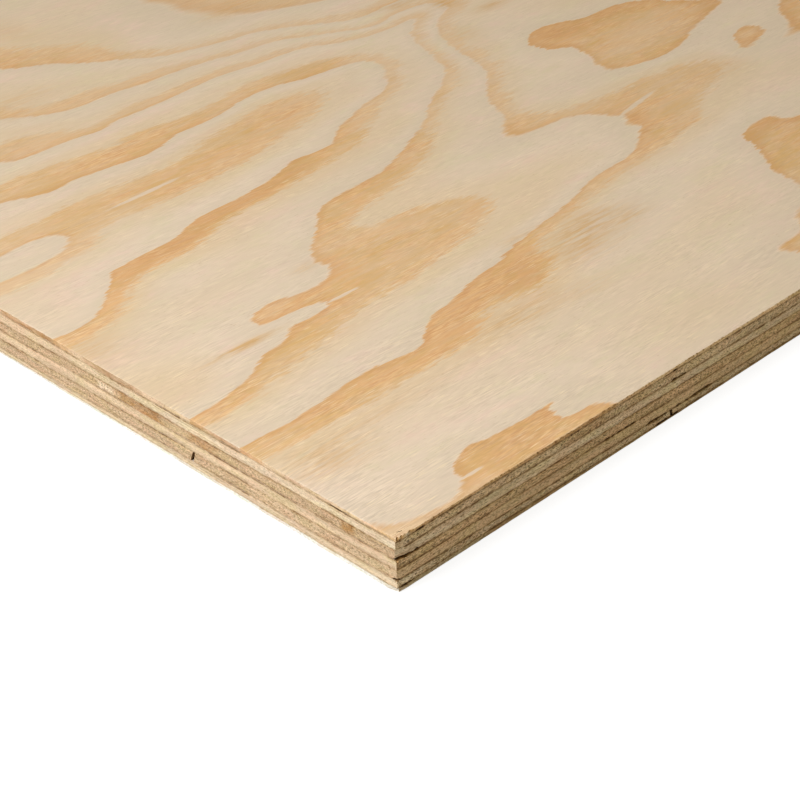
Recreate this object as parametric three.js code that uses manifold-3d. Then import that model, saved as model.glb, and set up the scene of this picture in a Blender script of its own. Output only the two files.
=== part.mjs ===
// A full sheet of sanded seven-ply pine plywood, 23/32 in by 4 ft by 8 ft.
//
// Millimetres, +Z up. X runs along the grain of the face, Y across it, and the origin lies on the
// floor under the middle of the sheet. The plies are laid up from the back to the face with their
// grain crossed, each one a veneer of its own thickness, and a film of glue fills the thin line
// between two of them. The sheet is trimmed square, so all seven share one outline, and the cut
// shows what lies inside: an open joint between two strips of the lower core, a split in the lower
// crossband, and pockets where a veneer edge had broken away beside a glue line.
import * as THREE from 'three';
import { mergeVertices } from 'three/addons/utils/BufferGeometryUtils.js';
import Module from 'manifold-3d';

const wasm = await Module();
wasm.setup();

// The sheet as trimmed.
const sheetLength = 2438.4; // along the face grain
const sheetWidth = 1219.2; // across the face grain

// Veneer thicknesses after pressing and sanding, and the cured glue between them.
const faceThickness = 1.3;
const upperCrossbandThickness = 2.9;
const upperCoreThickness = 3.2;
const centreCrossbandThickness = 3.2;
const lowerCoreThickness = 3.3;
const lowerCrossbandThickness = 2.7;
const backThickness = 1.06;
const glueLine = 0.1;

// The open joint where two strips of the lower core meet, seen on the short edge. It is widest at
// the edge, closes inside the sheet, and leans towards the near long edge as it rises. Its place is
// measured from that edge, at the middle of the veneer.
const coreJointOffset = 84.7;
const coreJointWidth = 1.0;
const coreJointDepth = 120;
const coreJointLean = 1.2; // from the bottom of the veneer to its top

// A split along the grain of the lower crossband, seen on the long edge. It leans in the same way,
// and its place is measured from the near short edge.
const splitOffset = 119.2;
const splitWidth = 0.8;
const splitDepth = 14;
const splitLean = 0.5;

// Pockets in the long edge beside a glue line. Each is a lens that runs along the edge, from start
// to end measured from the near short edge, and opens by its height into the veneer that it is in.
const pocketDepth = 3;
const cornerPocket = { start: -7.6, end: 7.6, height: 0.62 };
const corePockets = [
  { start: 107.2, end: 116.6, height: 0.5 },
  { start: 128.3, end: 139.6, height: 0.45 },
];
const crossbandPocket = { start: 118.5, end: 125.6, height: 0.35 };

const notchOverlap = 1; // how far a notch's cutter stands out past the edge, and above and below

const ballSides = 20; // facets round a pocket
const ballRings = 10;

const veneerColours = {
  face: 0xdcc3a0,
  crossband: 0xd9bd93,
  core: 0xb99a72,
  back: 0xcbb08a,
};

// The plies from the floor up. A notch is cut through the veneer from its edge, and a pocket is
// sunk into its bottom or top.
const layup = [
  { name: 'back_ply', veneer: 'back', thickness: backThickness },
  {
    name: 'lower_crossband',
    veneer: 'crossband',
    thickness: lowerCrossbandThickness,
    longEdgeNotches: [
      { offset: splitOffset, width: splitWidth, depth: splitDepth, lean: splitLean },
    ],
  },
  {
    name: 'lower_core',
    veneer: 'core',
    thickness: lowerCoreThickness,
    shortEdgeNotches: [
      {
        offset: coreJointOffset,
        width: coreJointWidth,
        depth: coreJointDepth,
        lean: coreJointLean,
      },
    ],
    bottomPockets: corePockets,
  },
  {
    name: 'centre_crossband',
    veneer: 'crossband',
    thickness: centreCrossbandThickness,
    topPockets: [cornerPocket],
  },
  { name: 'upper_core', veneer: 'core', thickness: upperCoreThickness },
  {
    name: 'upper_crossband',
    veneer: 'crossband',
    thickness: upperCrossbandThickness,
    bottomPockets: [crossbandPocket],
  },
  { name: 'face_ply', veneer: 'face', thickness: faceThickness },
];

// The veneer before anything is cut from its edges, trimmed to the sheet's outline.
function trimmedBlank(thickness) {
  const blank = new THREE.BoxGeometry(sheetLength, sheetWidth, thickness);
  blank.translate(0, 0, thickness / 2);
  return blank;
}

// The wedge that leaves a notch: a triangle with its mouth on the y axis and its point along x,
// pulled up through the veneer and sheared along y by the notch's lean. The mouth is carried on
// outward at the same flare, so that the notch has its width where it meets the edge.
function notchWedge({ width, depth, lean }, thickness) {
  const halfMouth = (width / 2) * ((depth + notchOverlap) / depth);
  const outline = new THREE.Shape();
  outline.moveTo(-notchOverlap, -halfMouth);
  outline.lineTo(depth, 0);
  outline.lineTo(-notchOverlap, halfMouth);
  outline.closePath();
  const wedge = new THREE.ExtrudeGeometry(outline, {
    depth: thickness + 2 * notchOverlap,
    bevelEnabled: false,
  });
  wedge.translate(0, 0, -thickness / 2 - notchOverlap);
  wedge.applyMatrix4(new THREE.Matrix4().makeShear(0, 0, 0, 0, 0, -lean / thickness));
  wedge.translate(0, 0, thickness / 2);
  return wedge;
}

// A notch in the short edge, its place measured along that edge from the near corner.
function shortEdgeWedge(notch, thickness) {
  const wedge = notchWedge(notch, thickness);
  wedge.translate(-sheetLength / 2, notch.offset - sheetWidth / 2, 0);
  return wedge;
}

// A notch in the long edge: the same wedge turned to point along y, mirrored so that it leans
// towards the near corner too.
function longEdgeWedge(notch, thickness) {
  const wedge = notchWedge({ ...notch, lean: -notch.lean }, thickness);
  wedge.rotateZ(Math.PI / 2);
  wedge.translate(notch.offset - sheetLength / 2, -sheetWidth / 2, 0);
  return wedge;
}

// The lens that leaves a pocket, centred on the long edge at the height of one side of the ply.
function pocketLens({ start, end, height }, sideHeight) {
  const lens = new THREE.SphereGeometry(1, ballSides, ballRings);
  lens.scale((end - start) / 2, pocketDepth, height);
  lens.translate((start + end) / 2 - sheetLength / 2, -sheetWidth / 2, sideHeight);
  return lens;
}

// A closed mesh as a solid that can be cut.
function solidOf(geometry) {
  const bare = geometry.clone();
  bare.deleteAttribute('normal');
  bare.deleteAttribute('uv');
  const merged = mergeVertices(bare);
  return new wasm.Manifold(
    new wasm.Mesh({
      numProp: 3,
      vertProperties: merged.attributes.position.array,
      triVerts: new Uint32Array(merged.index.array),
    }),
  );
}

// A solid back as a mesh's geometry.
function geometryOf(solid) {
  const mesh = solid.getMesh();
  const geometry = new THREE.BufferGeometry();
  geometry.setAttribute('position', new THREE.BufferAttribute(mesh.vertProperties, 3));
  geometry.setIndex(new THREE.BufferAttribute(mesh.triVerts, 1));
  geometry.computeVertexNormals();
  return geometry;
}

// One veneer: the trimmed blank less its notches and its pockets.
function veneerGeometry(ply) {
  const { thickness, longEdgeNotches = [], shortEdgeNotches = [] } = ply;
  const { bottomPockets = [], topPockets = [] } = ply;
  const blank = trimmedBlank(thickness);
  const cutters = [
    ...longEdgeNotches.map((notch) => longEdgeWedge(notch, thickness)),
    ...shortEdgeNotches.map((notch) => shortEdgeWedge(notch, thickness)),
    ...bottomPockets.map((pocket) => pocketLens(pocket, 0)),
    ...topPockets.map((pocket) => pocketLens(pocket, thickness)),
  ];
  if (cutters.length === 0) return blank;
  return geometryOf(
    cutters.reduce((solid, cutter) => solid.subtract(solidOf(cutter)), solidOf(blank)),
  );
}

const sheet = new THREE.Group();
let height = 0;
for (const ply of layup) {
  const material = new THREE.MeshStandardMaterial({
    color: veneerColours[ply.veneer],
    roughness: 0.75,
    metalness: 0,
  });
  const mesh = new THREE.Mesh(veneerGeometry(ply), material);
  mesh.name = ply.name;
  mesh.position.z = height;
  sheet.add(mesh);
  height += ply.thickness + glueLine;
}

export default sheet;
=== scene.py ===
import math

import bpy
import numpy as np
from mathutils import Matrix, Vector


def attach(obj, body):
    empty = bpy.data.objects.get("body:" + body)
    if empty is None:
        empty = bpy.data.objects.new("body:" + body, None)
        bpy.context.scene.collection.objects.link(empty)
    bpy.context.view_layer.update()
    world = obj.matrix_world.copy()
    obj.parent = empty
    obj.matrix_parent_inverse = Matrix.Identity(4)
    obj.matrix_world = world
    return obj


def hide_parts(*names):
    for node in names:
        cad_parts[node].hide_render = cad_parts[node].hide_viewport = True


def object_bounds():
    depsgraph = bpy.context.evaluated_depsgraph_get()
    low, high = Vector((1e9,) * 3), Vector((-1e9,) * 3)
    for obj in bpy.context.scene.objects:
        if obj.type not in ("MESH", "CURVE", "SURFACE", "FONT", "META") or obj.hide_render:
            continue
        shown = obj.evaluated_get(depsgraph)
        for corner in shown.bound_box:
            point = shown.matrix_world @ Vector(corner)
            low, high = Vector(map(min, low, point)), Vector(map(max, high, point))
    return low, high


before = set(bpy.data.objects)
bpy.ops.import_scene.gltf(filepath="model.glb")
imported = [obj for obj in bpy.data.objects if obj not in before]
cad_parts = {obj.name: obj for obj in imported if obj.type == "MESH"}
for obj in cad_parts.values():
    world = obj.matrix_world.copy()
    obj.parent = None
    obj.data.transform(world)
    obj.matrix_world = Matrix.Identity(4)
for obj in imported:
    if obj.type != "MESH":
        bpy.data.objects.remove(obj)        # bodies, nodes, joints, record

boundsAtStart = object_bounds()
print("frame loaded")

# Lengths below are millimetres. u runs along the sheet and v across it, both from the near corner,
# and z is the height above the floor.
lowest, highest = (np.array(corner) * 1000 for corner in boundsAtStart)
sheetLength, sheetWidth, sheetHeight = highest - lowest
metres = 0.001


# The smooth step 3t^2 - 2t^3, where t is how far value has gone from start to end.
def ramp(value, start, end):
    t = np.clip((value - start) / (end - start), 0, 1)
    return t * t * (3 - 2 * t)


# Noise from -1 to 1 whose cells are 1 wide: each whole-number point has its own height, the
# fraction of a sine of that point, and the smoothed fractions of a and b mix the four round them.
def cellNoise(a, b, seed):
    wholeA, wholeB = np.floor(a), np.floor(b)
    shareA, shareB = ramp(a - wholeA, 0, 1), ramp(b - wholeB, 0, 1)

    def heightAt(i, j):
        wave = np.sin(i * 12.9898 + j * 78.233 + seed * 37.719) * 43758.5453
        return 2 * (wave - np.floor(wave)) - 1

    near = heightAt(wholeA, wholeB) * (1 - shareA) + heightAt(wholeA + 1, wholeB) * shareA
    far = heightAt(wholeA, wholeB + 1) * (1 - shareA) + heightAt(wholeA + 1, wholeB + 1) * shareA
    return near * (1 - shareB) + far * shareB


# Noises added up. Each row gives a weight and how wide the cells are along a and along b.
def mixedNoise(a, b, seed, rows):
    return sum(
        weight * cellNoise(a / sizeA, b / sizeB, seed + index)
        for index, (weight, sizeA, sizeB) in enumerate(rows)
    )


# Stops from 0 to length, and the extra ones. Each band gives the distance it ends at and its
# spacing, rounded down so that the band holds a whole number of steps.
def gradedStops(length, bands, extra=()):
    stops = [np.array(extra, float)]
    start = 0.0
    for end, spacing in bands:
        end = min(end, length)
        stops.append(np.linspace(start, end, max(1, math.ceil((end - start) / spacing)) + 1))
        start = end
    stops = np.unique(np.round(np.concatenate(stops), 4))
    return stops[np.append(True, np.diff(stops) > 0.02)]  # without stops that nearly coincide


# The glue lines from the floor up. inside is the height in the middle of the sheet, long and short
# are heights along the two near edges, and corner is the height where those edges meet. The dashes
# are where an edge shows the line dark: start, end and how dark.
glueLines = [
    {
        "inside": 1.11, "corner": 1.4,
        "long": [(20, 1.35), (41, 1.5), (77, 0.95), (101, 0.65), (180, 0.7)],
        "short": [(3, 1.4), (40, 1.25), (82, 1.1), (180, 0.8)],
        "shortShare": 0.6,  # how much of the steady part shows
        "longDashes": [(13, 14, 0.7), (17, 18.5, 0.8), (21, 23, 0.75), (28, 33.5, 0.65),
            (36.5, 43.5, 1.1), (44.5, 53, 1), (56, 62.5, 1.15), (69, 75, 0.85), (88, 90, 0.9),
            (96.5, 101, 0.7), (106, 108, 0.65), (111, 123, 1.25), (126, 133, 0.85),
            (137, 138.5, 0.8), (143.5, 146, 1), (159.5, 162.5, 1.1)],
        "shortDashes": [(4, 8.5, 0.7), (60, 70, 0.3)],
    },
    {
        "inside": 3.91, "corner": 4.8,
        "long": [(10, 4.55), (33, 4.15), (73, 3.65), (110, 3.05), (186, 3.05)],
        "short": [(4, 4.1), (25, 3.7), (53, 3.4), (80, 3.2), (113, 2.75), (182, 2.1)],
        "longDashes": [(-1, 20.5, 0.9), (26, 31, 0.85), (35.5, 40, 0.95), (42, 46, 0.9),
            (47, 54.5, 0.95), (57, 60, 0.85), (64.5, 70.5, 0.65), (106.5, 141, 0.8),
            (158, 160.5, 0.7), (169.5, 171, 0.7)],
        "shortDashes": [(5, 21, 0.45), (29, 36, 0.4), (38.5, 39.5, 0.6), (48, 50, 0.7),
            (60, 70.5, 1.15), (76, 77.5, 0.7), (87.5, 90.5, 0.8), (145.5, 147, 0.7)],
    },
    {
        "inside": 7.31, "corner": 8,
        "long": [(1, 8.1), (35, 7.7), (60, 7.35), (82, 7.45), (115, 6.75), (186, 6.7)],
        "short": [(4, 7.5), (54, 7.05), (94, 6.75), (140, 6.15), (181, 5.9)],
        "longDashes": [(0, 12.5, 1), (13, 27, 0.8), (33, 36.5, 0.9), (59, 64, 0.8), (78, 80.5, 0.8),
            (81, 82.5, 0.65), (86, 102, 0.9), (103.5, 116, 1.05), (117, 119.5, 0.95),
            (124.5, 126, 0.5), (131, 133, 0.7), (140.5, 142, 0.8), (165, 168, 0.85),
            (170.5, 171.5, 0.6)],
        "shortDashes": [(2.5, 5, 0.9), (15, 19, 0.6), (21.5, 24.5, 0.8), (28.5, 30, 0.7),
            (33.5, 42, 0.95), (60, 73, 0.9), (80, 81, 0.5), (88, 103, 1.1), (125, 151, 0.6),
            (159, 163, 0.9), (165.5, 182, 0.75)],
    },
    {
        "inside": 10.61, "corner": 11.3,
        "long": [(1, 11.75), (13, 11.25), (35, 10.85), (54, 10.6), (105, 10.5), (156, 10.05),
            (185, 10.05)],
        "short": [(3, 10.5), (36, 10.3), (71, 10), (95, 9.75), (133, 9.85), (180, 9.2)],
        "longDashes": [(8, 14, 0.85), (23, 24.5, 0.8), (28, 29, 0.6), (31, 34, 0.4), (35, 36.5, 1),
            (41.5, 47, 0.85), (53.5, 55, 0.65), (58, 61, 0.75), (64, 67.5, 0.9), (78.5, 81.5, 0.6),
            (86, 88, 0.75), (95.5, 97.5, 0.65), (103, 106, 0.7), (127, 132, 0.85), (134, 143, 0.5),
            (144.5, 150, 0.75), (157, 158.5, 0.9)],
        "shortDashes": [(0, 2.5, 0.8), (6, 9, 0.7), (10, 15, 1.1), (16, 23.5, 0.8),
            (24.5, 30.5, 0.75), (37.5, 52, 1), (53, 63, 0.9), (64, 77.5, 1.2), (100, 104, 0.55),
            (116, 122, 0.85), (134, 136, 0.75), (148, 152, 0.6), (160, 167, 0.85)],
    },
    {
        "inside": 13.91, "corner": 14.2,
        "long": [(4, 14.85), (12, 14.6), (35, 14.25), (66, 13.95), (103, 13.75), (137, 13.4),
            (170, 13.2)],
        "short": [(3, 13.7), (35, 13.7), (70, 13.3), (103, 13.15), (133, 13.1), (180, 12.65)],
        "longDashes": [(3, 7.5, 1.1), (8, 9, 0.7), (10, 13, 0.8), (23.5, 26.5, 1.1),
            (29, 32.5, 0.85), (34.5, 38.5, 0.9), (66, 67, 0.6), (79, 85.5, 0.9), (87, 88.5, 0.8),
            (91, 94, 0.9), (111, 112, 0.6), (115.5, 126, 0.75), (154, 155, 0.7), (162, 166.5, 1.1),
            (181, 184, 0.7)],
        "shortDashes": [(8, 10, 0.6), (12, 15, 0.75), (18.5, 20, 0.5), (22, 27, 0.9),
            (54.5, 57, 0.5), (99, 104, 0.5), (125, 143, 0.6), (159, 168, 0.5), (174.5, 179.5, 0.8)],
    },
    {
        "inside": 16.91, "corner": 17.3,
        "long": [(12, 17.4), (35, 17.3), (66, 16.9), (103, 16.9), (130, 17), (170, 16.8)],
        "short": [(4, 16.9), (36, 16.8), (65, 16.65), (96, 16.4), (122, 16.05), (155, 16.3),
            (179, 16.2)],
        "longDashes": [(-1, 2.3, 1.2), (7, 11, 1.3), (13, 16, 0.8), (20.5, 24, 0.9),
            (27.5, 30, 0.8), (39, 40.5, 0.7), (52, 54, 0.8), (64.5, 67, 0.8), (81.5, 85.5, 0.6),
            (103.5, 108.5, 0.6), (114, 115.5, 0.7), (118.5, 121, 1.1), (129.5, 131, 0.9),
            (134, 165, 0.3), (176.5, 178, 0.6)],
        "shortDashes": [(3, 17, 0.75), (17.5, 27, 1.2), (27, 32, 0.9), (33, 35.5, 0.7),
            (36, 62, 0.25), (62, 72.5, 1.05), (83, 86, 0.4), (89, 99, 1.1), (105, 112.5, 0.8),
            (115, 123, 0.9), (130, 131.5, 0.5), (163.5, 166, 0.6)],
    },
]

# How the plies are glued up.
bond = {
    "film": 0.1,  # thickness of the cured glue
    "ripples": [(0.042, 9, 9), (0.028, 3.1, 3.1)],  # how it wanders up and down: height and sizes
    "drift": [(0.15, 160, 160)],  # and how it drifts away from the near corner
    "smoothing": (-6, -3, 0, 3, 6),  # steps over which its heights along an edge are averaged
    "reach": 60,  # how far into the sheet the heights at an edge are still felt
    "known": 200,  # how far along the edges the heights above hold
    "fade": 350,  # and how far beyond that they take to reach the height inside
    "charted": 186,  # the dashes above end here, and further off they fall by chance
    "faint": {"long": 0.66, "short": 0.6},  # how dark a line is where nothing marks it
    "marked": {"long": 1.02, "short": 0.84},  # and how dark its dashes are
    "far": 0.6,  # and how dark it is on the two far edges
    "cells": (11, 1.3, 0.5),  # sizes of the noises that break a line up along an edge
    "dashEnds": (0.5, 0.6),  # how far outside and inside its ends a dash fades
    "gap": 0.2,  # how much of the steady part is left under a dash
}

# Openings beside a glue line, sunk into the cut and painted dark as their shade: which line,
# counted from the floor from 0, on which near edge, where it starts and ends, and how far it
# reaches up and down and into the sheet.
openings = [
    (3, "long", -2, 6.4, 0.5, 3), (3, "short", -2.4, 0.9, 0.45, 1.5),
    (3, "long", 6.7, 8.5, 0.42, 1.6), (1, "short", -1.6, 1.7, 0.5, 2),
    (1, "long", -1, 1.2, 0.45, 1.6), (4, "long", 118.3, 121.1, 0.56, 1.8),
    (4, "long", 121.2, 122.9, 0.36, 1.2), (4, "long", 123.1, 125.6, 0.36, 1.2),
    (1, "long", 107.2, 113.6, 0.6, 2.6), (1, "long", 113, 116.8, 0.38, 1.4),
    (1, "long", 121.3, 124.1, 0.4, 1.4), (1, "long", 125.9, 127.5, 0.34, 1.2),
    (1, "long", 128.3, 139.6, 0.54, 2.6), (2, "long", 87.4, 89.5, 0.36, 1.2),
    (2, "long", 90.3, 92, 0.3, 1), (2, "long", 92.6, 95, 0.32, 1.2),
    (2, "long", 96.4, 98.2, 0.28, 0.9), (2, "long", 98.9, 101.4, 0.32, 1.1),
    (0, "long", 0.2, 6.5, 0.32, 1), (0, "long", 111.5, 118, 0.26, 0.7),
    (0, "long", 118.6, 122.8, 0.28, 0.8), (5, "long", 7.8, 10, 0.16, 0.3),
    (5, "long", 118.9, 120.7, 0.3, 0.6), (5, "short", 20, 26, 0.16, 0.3),
]


# A curve through (distance, height) pairs, straight between them and smoothed by averaging it with
# itself a little to each side.
def smoothCurve(distance, pairs):
    places, heights = np.array(pairs, float).T
    around = np.abs(distance[..., None] + np.array(bond["smoothing"]))
    return np.interp(around, places, heights).mean(-1)


# The height of a glue line at (u, v): the height inside, plus what each near edge adds to it. What
# an edge adds fades as e^(-d/reach), d being the distance from that edge, and what both add at the
# corner is counted once.
def glueHeight(line, u, v):
    inside = line["inside"]
    corner = line["corner"] - inside
    settle = 1 - ramp(np.maximum(u, v), bond["known"], bond["known"] + bond["fade"])
    alongLong = smoothCurve(u, [(0, line["corner"])] + line["long"]) - inside
    alongShort = smoothCurve(v, [(0, line["corner"])] + line["short"]) - inside
    fromLong = np.exp(-v / bond["reach"])
    fromShort = np.exp(-u / bond["reach"])
    edges = fromLong * alongLong + fromShort * alongShort - fromLong * fromShort * corner
    seed = int(inside * 10)
    ripple = mixedNoise(u, v, seed, bond["ripples"])
    drift = mixedNoise(u, v, seed + 2, bond["drift"]) * (1 - settle)
    return inside + settle * edges + ripple + drift


# How dark a glue line is at each place along one edge, from 0 to about 1: a faint steady part, and
# the line's dashes, or past the charted part those of two noises that add up to a high value.
def glueWear(line, edge, distance):
    seed = int(line["inside"] * 10) + (50 if edge == "long" else 80)
    slow, quick, grain = (
        cellNoise(distance / size, 0 * distance, seed + index)
        for index, size in enumerate(bond["cells"])
    )
    outside, within = bond["dashEnds"]
    marks = 0 * distance
    for start, end, dark in line[edge + "Dashes"]:
        begun = ramp(distance, start - outside, start + within)
        ended = ramp(distance, end - within, end + outside)
        marks = np.maximum(marks, dark * begun * (1 - ended))
    beyond = ramp(distance, bond["charted"] - 4, bond["charted"] + 8)
    marks = marks * (1 - beyond) + 0.9 * ramp(slow + 0.6 * quick, -0.1, 1.0) * beyond
    faint = bond["faint"][edge] * line.get(edge + "Share", 1) * (1 + 0.4 * slow + 0.5 * quick)
    dashes = marks * (bond["marked"][edge] + 0.3 * quick + 0.25 * grain)
    return np.maximum(faint, bond["gap"] * faint + dashes)


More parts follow.
